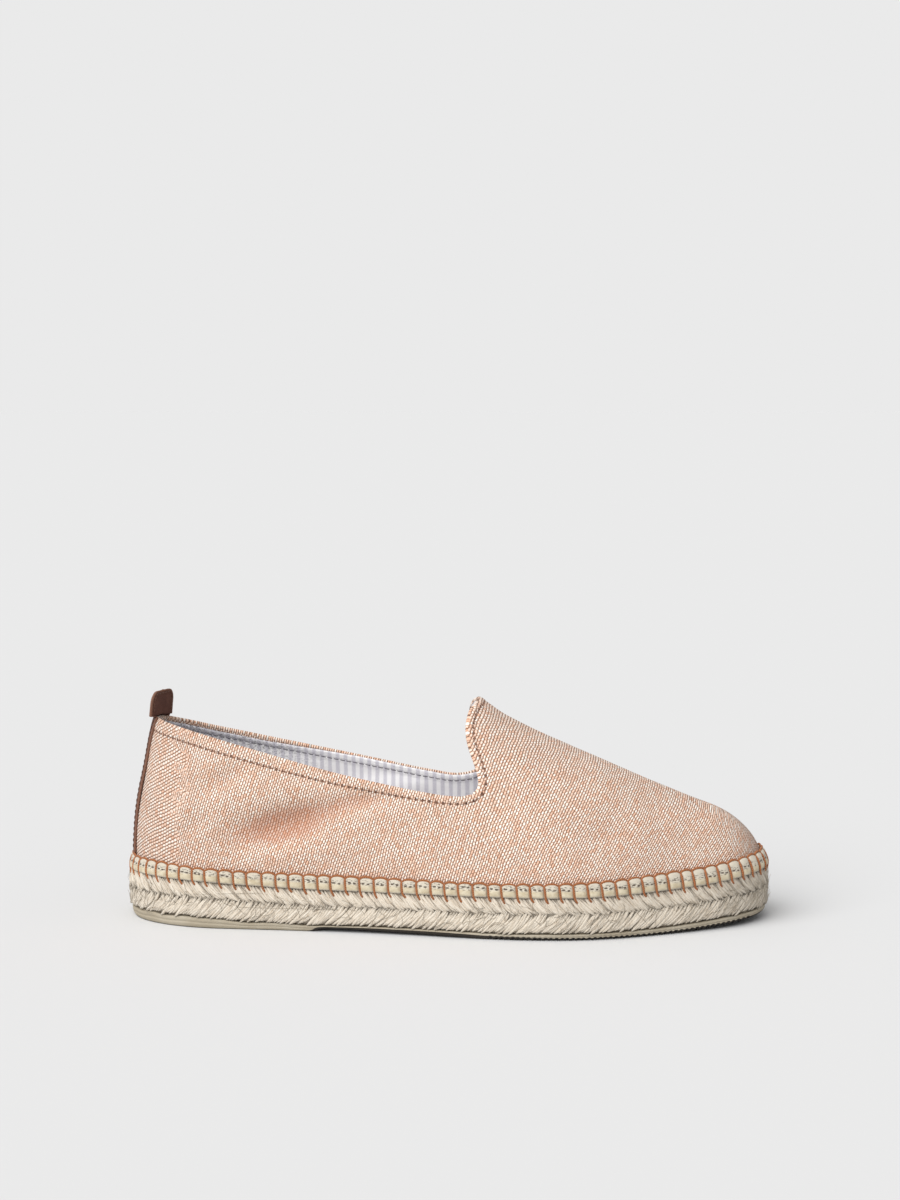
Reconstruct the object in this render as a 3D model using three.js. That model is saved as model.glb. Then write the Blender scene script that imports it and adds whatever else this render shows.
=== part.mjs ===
// A right espadrille with a jute sole, a canvas upper and a leather pull tab, empty and unbent.
// Millimetres: +X runs from heel to toe, -Y is the lateral side, +Z is up, and the floor is z = 0.
import * as THREE from 'three';

// driving dimensions
const length = 290; // jute sole, heel to toe
const wall = 1.8; // canvas with its lining
const gap = 0.3; // between neighbouring pieces
const canvasInset = 3.2; // from the jute outline to the foot of the upper
const tapeInset = 0.5; // from the jute outline to the foot of the tape
const tapeThickness = 1.8; // near its upper edge
const insoleInset = 6;
const insoleThickness = 3;
const leather = 1.4; // strip and pull tab
const stripHalfWidth = 11.5;
const tabHalfWidth = 9.8;
const tabHeight = 11.6; // above the back of the collar
const tabCorner = 6;
const tabTwist = THREE.MathUtils.degToRad(24);
const tabForward = 5.4; // how far the tab bends over the rim
const tabTurn = 1.9; // height within which it bends and twists
const heelRound = 47; // length of the rounded back of the outline
const toeRound = 80; // length of the rounded toe of the outline
const heelBreast = 0.3; // the heel block ends here, as a share of the length
const breastRun = 0.005; // length of its steep front face, in the same measure
const archEnd = 0.56; // the sole meets the floor again here
const archHeight = 1.4;
const springStart = 0.8; // the toe leaves the floor here
const toeSpring = 3.2;
const fanCentre = 12; // the sections of the upper fan out from this x
const fanScale = 0.79; // ridge length over outline length
const cornerHeight = 63; // middle of the rounded corner between collar and throat

// outline of the sole, and how full the wall of the upper stands, by share of the length
const planTable = makeTable(['station', 'mid', 'lateral', 'medial', 'inward'], [
  [0.00, 0.0, 34.0, 34.0, 0.80],
  [0.15, 0.0, 35.3, 34.5, 0.85],
  [0.25, 0.0, 37.2, 33.6, 0.80],
  [0.35, 0.0, 40.0, 31.6, 0.70],
  [0.45, 0.0, 44.6, 31.8, 0.74],
  [0.55, 0.2, 49.6, 38.2, 0.94],
  [0.62, 0.8, 52.4, 44.0, 1.00],
  [0.70, 1.6, 52.4, 47.4, 1.00],
  [0.76, 2.3, 49.4, 46.6, 1.00],
  [0.83, 3.0, 45.2, 45.4, 1.00],
  [0.90, 3.6, 43.0, 44.8, 1.00],
  [1.00, 4.0, 43.4, 45.0, 1.05],
]);

// heights of the layers of the sole, by share of the length
const soleTable = makeTable(['station', 'rubberTop', 'juteTop', 'tapeTop'], [
  [0.00, 4.5, 21.5, 28.0],
  [0.06, 4.9, 21.4, 27.9],
  [0.12, 4.8, 21.0, 26.6],
  [0.20, 3.6, 19.8, 25.7],
  [0.30, 2.8, 18.7, 25.0],
  [0.40, 3.2, 18.5, 24.7],
  [0.50, 3.1, 18.5, 24.2],
  [0.58, 2.7, 18.6, 24.2],
  [0.68, 2.9, 18.6, 24.5],
  [0.77, 3.0, 19.0, 25.5],
  [0.83, 3.3, 19.7, 26.7],
  [0.90, 4.5, 20.8, 28.0],
  [0.95, 5.4, 22.2, 29.4],
  [1.00, 6.5, 24.0, 31.0],
]);

// the ridge over the instep; behind the throat it is only the form that the collar is cut from
const ridgeTable = makeTable(['x', 'height', 'y'], [
  [-142, 112.0, 0.0],
  [-110, 115.0, 0.0],
  [-70, 114.0, 0.0],
  [-30, 110.5, 0.5],
  [-5, 106.5, 1.0],
  [5, 103.5, 1.2],
  [13.5, 99.0, 1.5],
  [18, 95.2, 1.6],
  [24, 90.9, 1.8],
  [33, 86.1, 2.2],
  [54, 76.3, 3.2],
  [75, 67.1, 4.2],
  [96, 58.2, 5.0],
  [116, 49.8, 5.0],
  [127, 46.2, 4.8],
  [143, 42.0, 4.5],
]);

// height of the collar edge on each side, by x
const collarTable = makeTable(['x', 'lateral', 'medial'], [
  [-142, 90.2, 90.2],
  [-132, 90.1, 90.1],
  [-125, 89.0, 87.4],
  [-109, 86.3, 81.8],
  [-88, 80.6, 76.6],
  [-63, 73.9, 71.3],
  [-49, 70.2, 68.5],
  [-29, 65.2, 64.4],
  [-9, 61.9, 61.1],
  [3, 60.9, 60.3],
  [9, 61.5, 61.3],
  [12.3, 63.0, 63.0],
]);

// x of the throat edge, by height
const throatTable = makeTable(['height', 'x'], [
  [61.0, 12.3],
  [63.0, 12.3],
  [64.8, 14.1],
  [67.6, 15.0],
  [71.5, 14.3],
  [76.1, 12.7],
  [81.5, 10.6],
  [87.7, 9.3],
  [92.8, 9.6],
  [97.1, 11.4],
  [99.0, 13.5],
  [104.0, 16.0],
]);

// One smooth function for each column after the first, by the value of the first column.
function makeTable(columns, rows) {
  const xs = rows.map((row) => row[0]);
  const table = {};
  columns.slice(1).forEach((name, column) => {
    const ys = rows.map((row) => row[column + 1]);
    const slopes = xs.map((x, i) => slopeAt(xs, ys, i));
    table[name] = (x) => hermite(xs, ys, slopes, x);
  });
  return table;
}

function slopeAt(xs, ys, i) {
  const last = xs.length - 1;
  if (i === 0) return (ys[1] - ys[0]) / (xs[1] - xs[0]);
  if (i === last) return (ys[last] - ys[last - 1]) / (xs[last] - xs[last - 1]);
  const before = xs[i] - xs[i - 1];
  const after = xs[i + 1] - xs[i];
  const rise = before ** 2 * (ys[i + 1] - ys[i]) + after ** 2 * (ys[i] - ys[i - 1]);
  return rise / (before * after * (before + after));
}

function hermite(xs, ys, slopes, x) {
  const at = THREE.MathUtils.clamp(x, xs[0], xs[xs.length - 1]);
  let i = 0;
  while (i < xs.length - 2 && at >= xs[i + 1]) i += 1;
  const step = xs[i + 1] - xs[i];
  const q = (at - xs[i]) / step;
  const start = (1 + 2 * q) * (1 - q) ** 2 * ys[i] + q * (1 - q) ** 2 * step * slopes[i];
  return start + q * q * (3 - 2 * q) * ys[i + 1] + q * q * (q - 1) * step * slopes[i + 1];
}

// The value between low and high where test turns from true to false.
function bisect(low, high, test) {
  let from = low;
  let to = high;
  for (let i = 0; i < 40; i += 1) {
    const middle = (from + to) / 2;
    if (test(middle)) from = middle;
    else to = middle;
  }
  return (from + to) / 2;
}

// The outline runs on each side from the heel, t = 0, to the toe, t = 1; side is -1 lateral, 1 medial.
const stationOf = (t) => (1 - Math.cos(Math.PI * t)) / 2;
const sideName = (side) => (side < 0 ? 'lateral' : 'medial');

function outlinePoint(t, side) {
  const station = stationOf(t);
  const fromHeel = Math.min(station * length / heelRound, 1);
  const fromToe = Math.min((1 - station) * length / toeRound, 1);
  const round = Math.sqrt(1 - (1 - fromHeel) ** 2) * Math.sqrt(1 - (1 - fromToe) ** 2);
  const width = planTable[sideName(side)](station) * round;
  return [(station - 0.5) * length, planTable.mid(station) + side * width];
}

function outlineNormal(t, side) {
  if (t <= 0) return [-1, 0];
  if (t >= 1) return [1, 0];
  const step = 1e-4;
  const from = outlinePoint(Math.max(t - step, 0), side);
  const to = outlinePoint(Math.min(t + step, 1), side);
  const dx = to[0] - from[0];
  const dy = to[1] - from[1];
  const size = Math.hypot(dx, dy);
  return [-side * dy / size, side * dx / size];
}

function insetPoint(t, side, inset) {
  const [x, y] = outlinePoint(t, side);
  const [nx, ny] = outlineNormal(t, side);
  return [x - inset * nx, y - inset * ny];
}

// The underside: a heel block, a shallow arch, the flat forefoot and the toe spring.
function floorHeight(station) {
  if (station < heelBreast + breastRun / 2) return 0;
  if (station < archEnd) return archHeight * (1 - ((station - heelBreast) / (archEnd - heelBreast)) ** 2);
  return toeSpring * (Math.max(station - springStart, 0) / (1 - springStart)) ** 1.8;
}

const seatHeight = (station) => soleTable.juteTop(station) + gap;

// The last: each section rises from the foot of the upper to the ridge; angle runs from 0 to 90 degrees.
function lastPoint(t, angle, side) {
  const station = stationOf(t);
  const [footX, footY] = insetPoint(t, side, canvasInset);
  const ridgeX = fanCentre + ((station - 0.5) * (length - 2 * canvasInset) - fanCentre) * fanScale;
  const inward = 1 - Math.max(Math.cos(angle), 0) ** planTable.inward(station);
  const x = footX + (ridgeX - footX) * inward;
  const y = footY + (ridgeTable.y(ridgeX) - footY) * inward;
  const seat = seatHeight(station);
  return new THREE.Vector3(x, y, seat + (ridgeTable.height(x) - seat) * Math.sin(angle));
}

// The same surface, carried over the heel, the toe and the ridge to the other side.
function wrappedPoint(t, angle, side) {
  if (t < 0) return wrappedPoint(-t, angle, -side);
  if (t > 1) return wrappedPoint(2 - t, angle, -side);
  if (angle > Math.PI / 2) return lastPoint(t, Math.PI - angle, -side);
  return lastPoint(t, Math.max(angle, 0), side);
}

// A point of the last moved outwards along its normal; both sides agree where they meet.
function offsetPoint(t, angle, givenSide, out) {
  const step = 1e-3;
  const side = t <= 0 || t >= 1 || angle >= Math.PI / 2 ? -1 : givenSide;
  const along = wrappedPoint(t + step, angle, side).sub(wrappedPoint(t - step, angle, side));
  const up = wrappedPoint(t, angle + step, side).sub(wrappedPoint(t, angle - step, side));
  const normal = up.cross(along).multiplyScalar(side).normalize();
  return lastPoint(t, angle, side).addScaledVector(normal, out);
}

function angleAtHeight(t, side, height) {
  return bisect(0, Math.PI / 2, (angle) => lastPoint(t, angle, side).z < height);
}

function collarAngle(t, givenSide) {
  const side = t <= 0 ? -1 : givenSide;
  const edge = collarTable[sideName(side)];
  return bisect(0, Math.PI / 2, (angle) => {
    const point = lastPoint(t, angle, side);
    return point.z < edge(point.x);
  });
}

function throatStart(angle, side) {
  return bisect(0.3, 0.7, (t) => {
    const point = lastPoint(t, angle, side);
    return point.x < throatTable.x(Math.max(point.z, cornerHeight));
  });
}

// A closed mesh that is put together from quads; corners that coincide are one vertex.
class Shell {
  constructor() {
    this.positions = [];
    this.index = [];
    this.known = new Map();
  }

  vertex(point) {
    const key = point.toArray().map((value) => Math.round(value * 1000)).join();
    if (!this.known.has(key)) {
      this.known.set(key, this.positions.length / 3);
      this.positions.push(...point.toArray());
    }
    return this.known.get(key);
  }

  triangle(a, b, c) {
    if (a !== b && b !== c && c !== a) this.index.push(a, b, c);
  }

  quad(...corners) {
    const [a, b, c, d] = corners.map((point) => this.vertex(point));
    this.triangle(a, b, c);
    this.triangle(a, c, d);
  }

  grid(rows, flip) {
    for (let i = 0; i + 1 < rows.length; i += 1) {
      for (let j = 0; j + 1 < rows[i].length; j += 1) {
        const corners = [rows[i][j], rows[i][j + 1], rows[i + 1][j + 1], rows[i + 1][j]];
        this.quad(...(flip ? corners.reverse() : corners));
      }
    }
  }

  volume() {
    const corner = (i) => new THREE.Vector3().fromArray(this.positions, 3 * this.index[i]);
    let sum = 0;
    for (let i = 0; i < this.index.length; i += 3) sum += corner(i).dot(corner(i + 1).cross(corner(i + 2)));
    return sum / 6;
  }

  geometry() {
    if (this.volume() < 0) this.index.reverse();
    const geometry = new THREE.BufferGeometry();
    geometry.setAttribute('position', new THREE.Float32BufferAttribute(this.positions, 3));
    geometry.setIndex(this.index);
    geometry.computeVertexNormals();
    return geometry;
  }
}

// Rings around the sole: lateral side from heel to toe, then the medial side back.
function ringStations(count) {
  const even = Array.from({ length: count + 1 }, (_, i) => i / count);
  const breast = [heelBreast, heelBreast + breastRun].map((station) => Math.acos(1 - 2 * station) / Math.PI);
  const clear = even.filter((t) => Math.abs(t - breast[0]) > 0.4 / count);
  return [...clear, ...breast].sort((a, b) => a - b);
}

const soleStations = ringStations(44);

function makeRing(pointAt) {
  const lateral = soleStations.map((t) => pointAt(t, -1));
  const medial = soleStations.map((t) => pointAt(t, 1));
  return { lateral, medial, loop: [...lateral, ...medial.slice(1, -1).reverse(), lateral[0]] };
}

function levelRing(inset, height) {
  return makeRing((t, side) => {
    const [x, y] = insetPoint(t, side, inset);
    return new THREE.Vector3(x, y, height(stationOf(t)));
  });
}

// A solid between stacked rings, closed below and above by strips from side to side.
function stackSolid(rings) {
  const shell = new Shell();
  shell.grid(rings.map((ring) => ring.loop), false);
  const bottom = rings[0];
  const top = rings[rings.length - 1];
  shell.grid([bottom.medial, bottom.lateral], false);
  shell.grid([top.lateral, top.medial], false);
  return shell.geometry();
}

function outsoleGeometry() {
  const edge = (share) => (station) => {
    const floor = floorHeight(station);
    return floor + (soleTable.rubberTop(station) - floor) * share;
  };
  return stackSolid([levelRing(3.4, edge(0)), levelRing(1.9, edge(0.35)), levelRing(1.5, edge(1))]);
}

function juteGeometry() {
  const level = (share) => (station) => {
    const bottom = soleTable.rubberTop(station) + gap;
    return bottom + (soleTable.juteTop(station) - bottom) * share;
  };
  const sections = [[1.6, 0], [0.4, 0.15], [0, 0.45], [0.3, 0.85], [0.9, 1]];
  return stackSolid(sections.map(([inset, share]) => levelRing(inset, level(share))));
}

function insoleGeometry() {
  const level = (rise) => (station) => seatHeight(station) + rise;
  return stackSolid([levelRing(insoleInset, level(0)), levelRing(insoleInset, level(insoleThickness))]);
}

// The tape is a band around the foot of the upper, and it leans in with it.
function tapeGeometry() {
  const onUpper = (share, out) => makeRing((t, side) => {
    const seat = seatHeight(stationOf(t));
    const height = seat + (soleTable.tapeTop(stationOf(t)) - seat) * share;
    return offsetPoint(t, angleAtHeight(t, side, height), side, out);
  });
  const rings = [
    levelRing(canvasInset - gap, seatHeight),
    onUpper(0.35, gap),
    onUpper(0.7, gap),
    onUpper(1, gap),
    onUpper(1, gap + tapeThickness * 0.6),
    onUpper(0.88, gap + tapeThickness),
    levelRing(tapeInset, (station) => seatHeight(station) + 2),
    levelRing(tapeInset, seatHeight),
  ];
  const shell = new Shell();
  shell.grid([...rings, rings[0]].map((ring) => ring.loop), false);
  return shell.geometry();
}

// The upper: behind the throat rows end at the collar, and in front of it they meet on the ridge.
const backColumns = 20;
const frontColumns = 17;
const lowRows = 6;
const highRows = 8;

function spread(count, shape) {
  return Array.from({ length: count + 1 }, (_, i) => shape(i / count));
}

const cornerAngle = bisect(0.2, 1.2, (angle) => {
  const point = lastPoint(throatStart(angle, -1), angle, -1);
  return point.z < cornerHeight;
});

function upperPatches(side, out) {
  const cornerStart = throatStart(cornerAngle, side);
  const lows = spread(lowRows, (share) => share);
  const columns = spread(backColumns, (share) => cornerStart * Math.sin(share * Math.PI / 2));
  const limits = columns.map((t, i) => (i < backColumns ? collarAngle(t, side) : cornerAngle));
  const back = lows.map((low) => columns.map((t, i) => offsetPoint(t, low * limits[i], side, out)));
  const rest = Math.PI / 2 - cornerAngle;
  const highs = spread(highRows, (share) => cornerAngle + rest * share ** 1.4).slice(1);
  const rows = [
    ...lows.map((low) => ({ angle: low * cornerAngle, start: cornerStart })),
    ...highs.map((angle) => ({ angle, start: throatStart(angle, side) })),
  ];
  const front = rows.map(({ angle, start }) => (
    spread(frontColumns, (share) => offsetPoint(start + (1 - start) * share, angle, side, out))
  ));
  return { back, front };
}

function upperGeometry() {
  const shell = new Shell();
  [-1, 1].forEach((side) => {
    const outer = upperPatches(side, 0);
    const inner = upperPatches(side, -wall);
    const flip = side > 0;
    shell.grid(outer.back, flip);
    shell.grid(outer.front, flip);
    shell.grid(inner.back, !flip);
    shell.grid(inner.front, !flip);
    shell.grid([inner.back[0], outer.back[0]], flip);
    shell.grid([inner.front[0], outer.front[0]], flip);
    shell.grid([outer.back[lowRows], inner.back[lowRows]], flip);
    const throat = (patch) => patch.front.slice(lowRows).map((row) => row[0]);
    shell.grid([throat(outer), throat(inner)], flip);
  });
  return shell.geometry();
}

// The point of the heel at a given y and height, moved outwards by the given distance.
function heelPoint(y, height, out) {
  const side = y < 0 ? -1 : 1;
  const pointAt = (t) => lastPoint(t, angleAtHeight(t, side, height), side);
  const t = y === 0 ? 0 : bisect(0, 0.3, (trial) => Math.abs(pointAt(trial).y) < Math.abs(y));
  return offsetPoint(t, angleAtHeight(t, side, height), side, out);
}

// The leather piece lies on the back of the heel and stands up past the collar as the pull tab.
const stripRows = 9;
const tabRows = 9;
const leatherColumns = 8;

function leatherGrid(out) {
  const rim = collarTable.lateral(-length / 2);
  const foot = soleTable.tapeTop(0) + gap;
  const across = spread(leatherColumns, (share) => 2 * share - 1);
  const strip = spread(stripRows, (share) => foot + (rim - foot) * share)
    .map((height) => across.map((place) => heelPoint(place * stripHalfWidth, height, out)));
  const edge = strip[stripRows];
  const rises = spread(tabRows, (share) => tabHeight * (1 - Math.cos(share * Math.PI)) / 2).slice(1);
  const tab = rises.map((rise) => {
    const turn = THREE.MathUtils.smoothstep(rise, 0, tabTurn);
    const round = Math.max(rise - tabHeight + tabCorner, 0) / tabCorner;
    const width = THREE.MathUtils.lerp(stripHalfWidth, tabHalfWidth, turn)
      - tabCorner * (1 - Math.sqrt(1 - Math.min(round, 1) ** 2)) * 0.85;
    const twist = tabTwist * turn;
    const middle = edge[leatherColumns / 2];
    return across.map((place, column) => {
      const bend = (edge[column].x - middle.x) * (1 - turn);
      const x = middle.x + bend + tabForward * turn + place * width * Math.sin(twist);
      return new THREE.Vector3(x, place * width * Math.cos(twist), rim + rise);
    });
  });
  return [...strip, ...tab];
}

function leatherGeometry() {
  const inner = leatherGrid(gap);
  const outer = leatherGrid(gap + leather);
  const shell = new Shell();
  const columnOf = (rows, column) => rows.map((row) => row[column]);
  const top = inner.length - 1;
  shell.grid(outer, false);
  shell.grid(inner, true);
  shell.grid([inner[0], outer[0]], false);
  shell.grid([outer[top], inner[top]], false);
  shell.grid([columnOf(outer, 0), columnOf(inner, 0)], false);
  shell.grid([columnOf(inner, leatherColumns), columnOf(outer, leatherColumns)], false);
  return shell.geometry();
}

const finishes = {
  rubber: { color: 0xbab09f, roughness: 0.7, metalness: 0 },
  jute: { color: 0xd3c6b5, roughness: 0.95, metalness: 0 },
  tape: { color: 0xd6c9a8, roughness: 0.9, metalness: 0 },
  canvas: { color: 0xd9bda9, roughness: 0.9, metalness: 0 },
  leather: { color: 0x4d312a, roughness: 0.6, metalness: 0 },
  lining: { color: 0xd2cdd1, roughness: 0.9, metalness: 0 },
};

const pieces = [
  ['outsole', 'rubber', outsoleGeometry],
  ['jute_sole', 'jute', juteGeometry],
  ['welt_tape', 'tape', tapeGeometry],
  ['upper', 'canvas', upperGeometry],
  ['heel_tab', 'leather', leatherGeometry],
  ['insole', 'lining', insoleGeometry],
];

const espadrille = new THREE.Group();
pieces.forEach(([name, finish, makeGeometry]) => {
  const mesh = new THREE.Mesh(makeGeometry(), new THREE.MeshStandardMaterial(finishes[finish]));
  mesh.name = name;
  espadrille.add(mesh);
});

export default espadrille;
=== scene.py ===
import math
import bpy
import bmesh
import numpy as np
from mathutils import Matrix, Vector
from mathutils.bvhtree import BVHTree
from mathutils.kdtree import KDTree


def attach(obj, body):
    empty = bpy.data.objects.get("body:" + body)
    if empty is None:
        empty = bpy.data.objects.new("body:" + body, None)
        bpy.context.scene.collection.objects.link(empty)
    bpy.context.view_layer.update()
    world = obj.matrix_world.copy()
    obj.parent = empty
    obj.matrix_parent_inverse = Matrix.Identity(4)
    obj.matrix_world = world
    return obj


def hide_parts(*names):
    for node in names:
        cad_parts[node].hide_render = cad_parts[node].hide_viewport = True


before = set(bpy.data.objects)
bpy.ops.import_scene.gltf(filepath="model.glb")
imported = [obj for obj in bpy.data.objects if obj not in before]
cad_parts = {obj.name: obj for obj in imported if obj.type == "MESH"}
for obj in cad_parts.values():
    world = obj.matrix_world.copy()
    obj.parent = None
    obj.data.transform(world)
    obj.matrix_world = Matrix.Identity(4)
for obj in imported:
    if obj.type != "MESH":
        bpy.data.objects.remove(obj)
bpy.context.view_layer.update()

mm = 0.001
quarterTurn = math.pi / 2
draw = np.random.default_rng(17)  # one seeded source for all small irregularities

last = {  # lengths in millimetres; heelBreast, breastRun, archEnd and springStart are shares of the length
    "length": 290.0, "heelRound": 47.0, "toeRound": 80.0,
    "canvasInset": 3.2, "gap": 0.3, "tapeThickness": 1.8, "tapeInset": 0.5,
    "fanCentre": 12.0, "fanScale": 0.79, "cornerHeight": 62.2,
    "heelBreast": 0.3, "breastRun": 0.005, "archEnd": 0.56, "archHeight": 1.4,
    "springStart": 0.8, "toeSpring": 3.2, "heelTuck": (1.2, 70.0, 15.0),
}


def smoothTable(columns, rows):  # a smooth curve through each column, over the first one
    rows = np.array(rows, float)
    places = rows[:, 0]

    def columnCurve(values):
        slopes = np.gradient(values, places)

        def curve(at):
            at = np.clip(at, places[0], places[-1])
            i = np.clip(np.searchsorted(places, at, side="right") - 1, 0, len(places) - 2)
            step = places[i + 1] - places[i]
            q = (at - places[i]) / step
            start = (1 + 2 * q) * (1 - q) ** 2 * values[i] + q * (1 - q) ** 2 * step * slopes[i]
            return start + q * q * (3 - 2 * q) * values[i + 1] + q * q * (q - 1) * step * slopes[i + 1]

        return curve

    return {name: columnCurve(rows[:, k + 1]) for k, name in enumerate(columns[1:])}


plan = smoothTable(["station", "mid", "lateral", "medial", "inward"], [
    [0.00, 0.0, 34.0, 34.0, 0.88],
    [0.15, 0.0, 35.3, 34.5, 0.87],
    [0.25, 0.0, 37.2, 33.6, 0.80],
    [0.35, 0.0, 40.0, 31.6, 0.70],
    [0.45, 0.0, 44.6, 31.8, 0.74],
    [0.55, 0.2, 49.6, 38.2, 0.94],
    [0.62, 0.8, 52.4, 44.0, 1.00],
    [0.70, 1.6, 52.4, 47.4, 1.00],
    [0.76, 2.3, 49.4, 46.6, 1.00],
    [0.83, 3.0, 45.2, 45.4, 1.00],
    [0.90, 3.6, 43.0, 44.8, 0.95],
    [1.00, 4.0, 43.4, 45.0, 0.88],
])

soleLayers = smoothTable(["station", "rubberTop", "juteTop", "tapeTop"], [
    [0.00, 4.5, 21.5, 28.0],
    [0.06, 4.9, 21.4, 27.9],
    [0.12, 4.8, 21.0, 26.6],
    [0.20, 3.6, 19.8, 25.7],
    [0.30, 2.8, 18.7, 25.0],
    [0.40, 3.2, 18.5, 24.7],
    [0.50, 3.1, 18.5, 24.2],
    [0.58, 2.7, 18.6, 24.2],
    [0.68, 2.9, 18.6, 24.5],
    [0.77, 3.0, 19.0, 25.5],
    [0.83, 3.3, 19.7, 26.7],
    [0.90, 4.5, 20.8, 28.0],
    [0.95, 5.4, 22.2, 29.4],
    [1.00, 6.5, 24.0, 31.0],
])

ridge = smoothTable(["x", "height", "y"], [
    [-142, 112.0, 0.0],
    [-110, 115.0, 0.0],
    [-70, 114.0, 0.0],
    [-30, 110.5, 0.5],
    [-5, 106.5, 1.0],
    [5, 103.5, 1.2],
    [13.5, 99.6, 1.5],
    [18, 96.6, 1.6],
    [24, 92.3, 1.8],
    [33, 87.4, 2.2],
    [54, 77.6, 3.2],
    [75, 68.4, 4.2],
    [96, 59.4, 5.0],
    [116, 51.8, 5.0],
    [127, 48.8, 4.8],
    [143, 45.0, 4.5],
])

collar = smoothTable(["x", "lateral", "medial"], [
    [-142, 90.2, 90.2],
    [-132, 90.1, 90.1],
    [-125, 88.8, 87.8],
    [-109, 85.3, 83.0],
    [-88, 79.9, 78.3],
    [-63, 73.3, 73.3],
    [-49, 69.9, 70.6],
    [-29, 65.9, 66.5],
    [-9, 62.5, 62.3],
    [3, 61.1, 60.3],
    [9, 61.2, 61.0],
    [12.3, 62.2, 62.2],
])

throat = smoothTable(["height", "x"], [
    [61.0, 12.3],
    [62.2, 12.3],
    [63.6, 13.9],
    [66.5, 15.0],
    [71.5, 14.3],
    [76.1, 12.7],
    [81.5, 10.6],
    [87.7, 9.3],
    [92.8, 9.6],
    [97.1, 11.4],
    [99.0, 13.5],
    [104.0, 16.0],
])


def smoothStep(value, start, end):
    share = np.clip((value - start) / (end - start), 0, 1)
    return share * share * (3 - 2 * share)


def bell(value, width):
    return np.exp(-(value / width) ** 2)


def unit(vectors):
    return vectors / np.linalg.norm(vectors, axis=-1, keepdims=True)


def runAlong(points):  # the length of a path up to each of its points
    return np.concatenate([[0], np.cumsum(np.linalg.norm(np.diff(points, axis=0), axis=1))])


def alongPath(at, run, values):  # what stands at given lengths of a path
    return np.stack([np.interp(at, run, values[:, k]) for k in range(3)], -1)


def pointTree(points):
    tree = KDTree(len(points))
    for i, point in enumerate(points):
        tree.insert(point, i)
    tree.balance()
    return tree


def bisect(low, high, isBelow, turns=36):  # where a rising function leaves "below", for whole arrays
    low, high = np.array(low, float), np.array(high, float)
    for _ in range(turns):
        middle = (low + high) / 2
        below = isBelow(middle)
        low, high = np.where(below, middle, low), np.where(below, high, middle)
    return (low + high) / 2


# A place round the sole is u: 0 heel, 0 to 1 lateral side, 1 toe, 1 to 2 medial side.
# Angle climbs the wall to the ridge at a quarter turn.
def foldLoop(u):
    u = np.mod(u, 2.0)
    return np.where(u <= 1, u, 2 - u), np.where(u <= 1, -1.0, 1.0)


def stationOf(u):
    return (1 - np.cos(np.pi * foldLoop(u)[0])) / 2


def outlinePoint(u):
    t, side = foldLoop(u)
    station = stationOf(u)
    fromHeel = np.minimum(station * last["length"] / last["heelRound"], 1)
    fromToe = np.minimum((1 - station) * last["length"] / last["toeRound"], 1)
    rounding = np.sqrt(1 - (1 - fromHeel) ** 2) * np.sqrt(1 - (1 - fromToe) ** 2)
    width = np.where(side < 0, plan["lateral"](station), plan["medial"](station)) * rounding
    return np.stack([(station - 0.5) * last["length"], plan["mid"](station) + side * width], -1)


def outlineNormal(u):
    along = unit(outlinePoint(u + 1e-4) - outlinePoint(u - 1e-4))
    return np.stack([along[..., 1], -along[..., 0]], -1)


def sideways(u, rise=0.0):  # straight out from the sole's side, or tipped up by a rise
    return np.concatenate([outlineNormal(u), rise + 0 * u[:, None]], 1)


def insetPoint(u, inset):
    return outlinePoint(u) - np.asarray(inset)[..., None] * outlineNormal(u)


def floorHeight(station):
    arch = (station - last["heelBreast"]) / (last["archEnd"] - last["heelBreast"])
    spring = np.maximum(station - last["springStart"], 0) / (1 - last["springStart"])
    front = last["heelBreast"] + last["breastRun"] / 2
    underArch = last["archHeight"] * (1 - arch ** 2)
    lift = np.where(station < last["archEnd"], underArch, last["toeSpring"] * spring ** 1.8)
    return np.where(station < front, 0, lift)


def seatHeight(u):
    return soleLayers["juteTop"](stationOf(u)) + last["gap"]


def lastPoint(u, angle):
    u, angle = np.broadcast_arrays(np.asarray(u, float), np.asarray(angle, float))
    over = angle > quarterTurn
    u = np.where(over, 2 - u, u)
    angle = np.maximum(np.where(over, math.pi - angle, angle), 0)
    station = stationOf(u)
    foot = insetPoint(u, last["canvasInset"])
    reach = (station - 0.5) * (last["length"] - 2 * last["canvasInset"]) - last["fanCentre"]
    ridgeX = last["fanCentre"] + reach * last["fanScale"]
    inward = 1 - np.maximum(np.cos(angle), 0) ** plan["inward"](station)
    seat = soleLayers["juteTop"](station) + last["gap"]
    x = foot[..., 0] + (ridgeX - foot[..., 0]) * inward
    y = foot[..., 1] + (ridge["y"](ridgeX) - foot[..., 1]) * inward
    z = seat + (ridge["height"](x) - seat) * np.sin(angle)
    tuck, tuckHeight, tuckWidth = last["heelTuck"]
    x = x + tuck * bell(z - tuckHeight, tuckWidth) * smoothStep(x, -105, -140)
    return np.stack([x, y, z], -1)


def lastNormal(u, angle):
    step = 1e-3
    pole = np.abs(foldLoop(u)[0] - 0.5) > 0.4995  # the heel and toe lines end in a pole on the ridge
    angle = np.where(pole, np.minimum(angle, quarterTurn - 3 * step), angle)
    along = lastPoint(u + step, angle) - lastPoint(u - step, angle)
    up = lastPoint(u, angle + step) - lastPoint(u, angle - step)
    return unit(np.cross(along, up))


def speed(u, angle, du, dAngle):
    step = 1e-3
    ahead = lastPoint(u + du * step, angle + dAngle * step)
    behind = lastPoint(u - du * step, angle - dAngle * step)
    return np.linalg.norm(ahead - behind, axis=-1) / (2 * step)


def offsetPoint(u, angle, out):
    return lastPoint(u, angle) + np.asarray(out)[..., None] * lastNormal(u, angle)


def angleAtHeight(u, height):
    u, height = np.broadcast_arrays(np.asarray(u, float), np.asarray(height, float))
    return bisect(0 * u, 0 * u + quarterTurn, lambda angle: lastPoint(u, angle)[..., 2] < height, 24)


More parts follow.
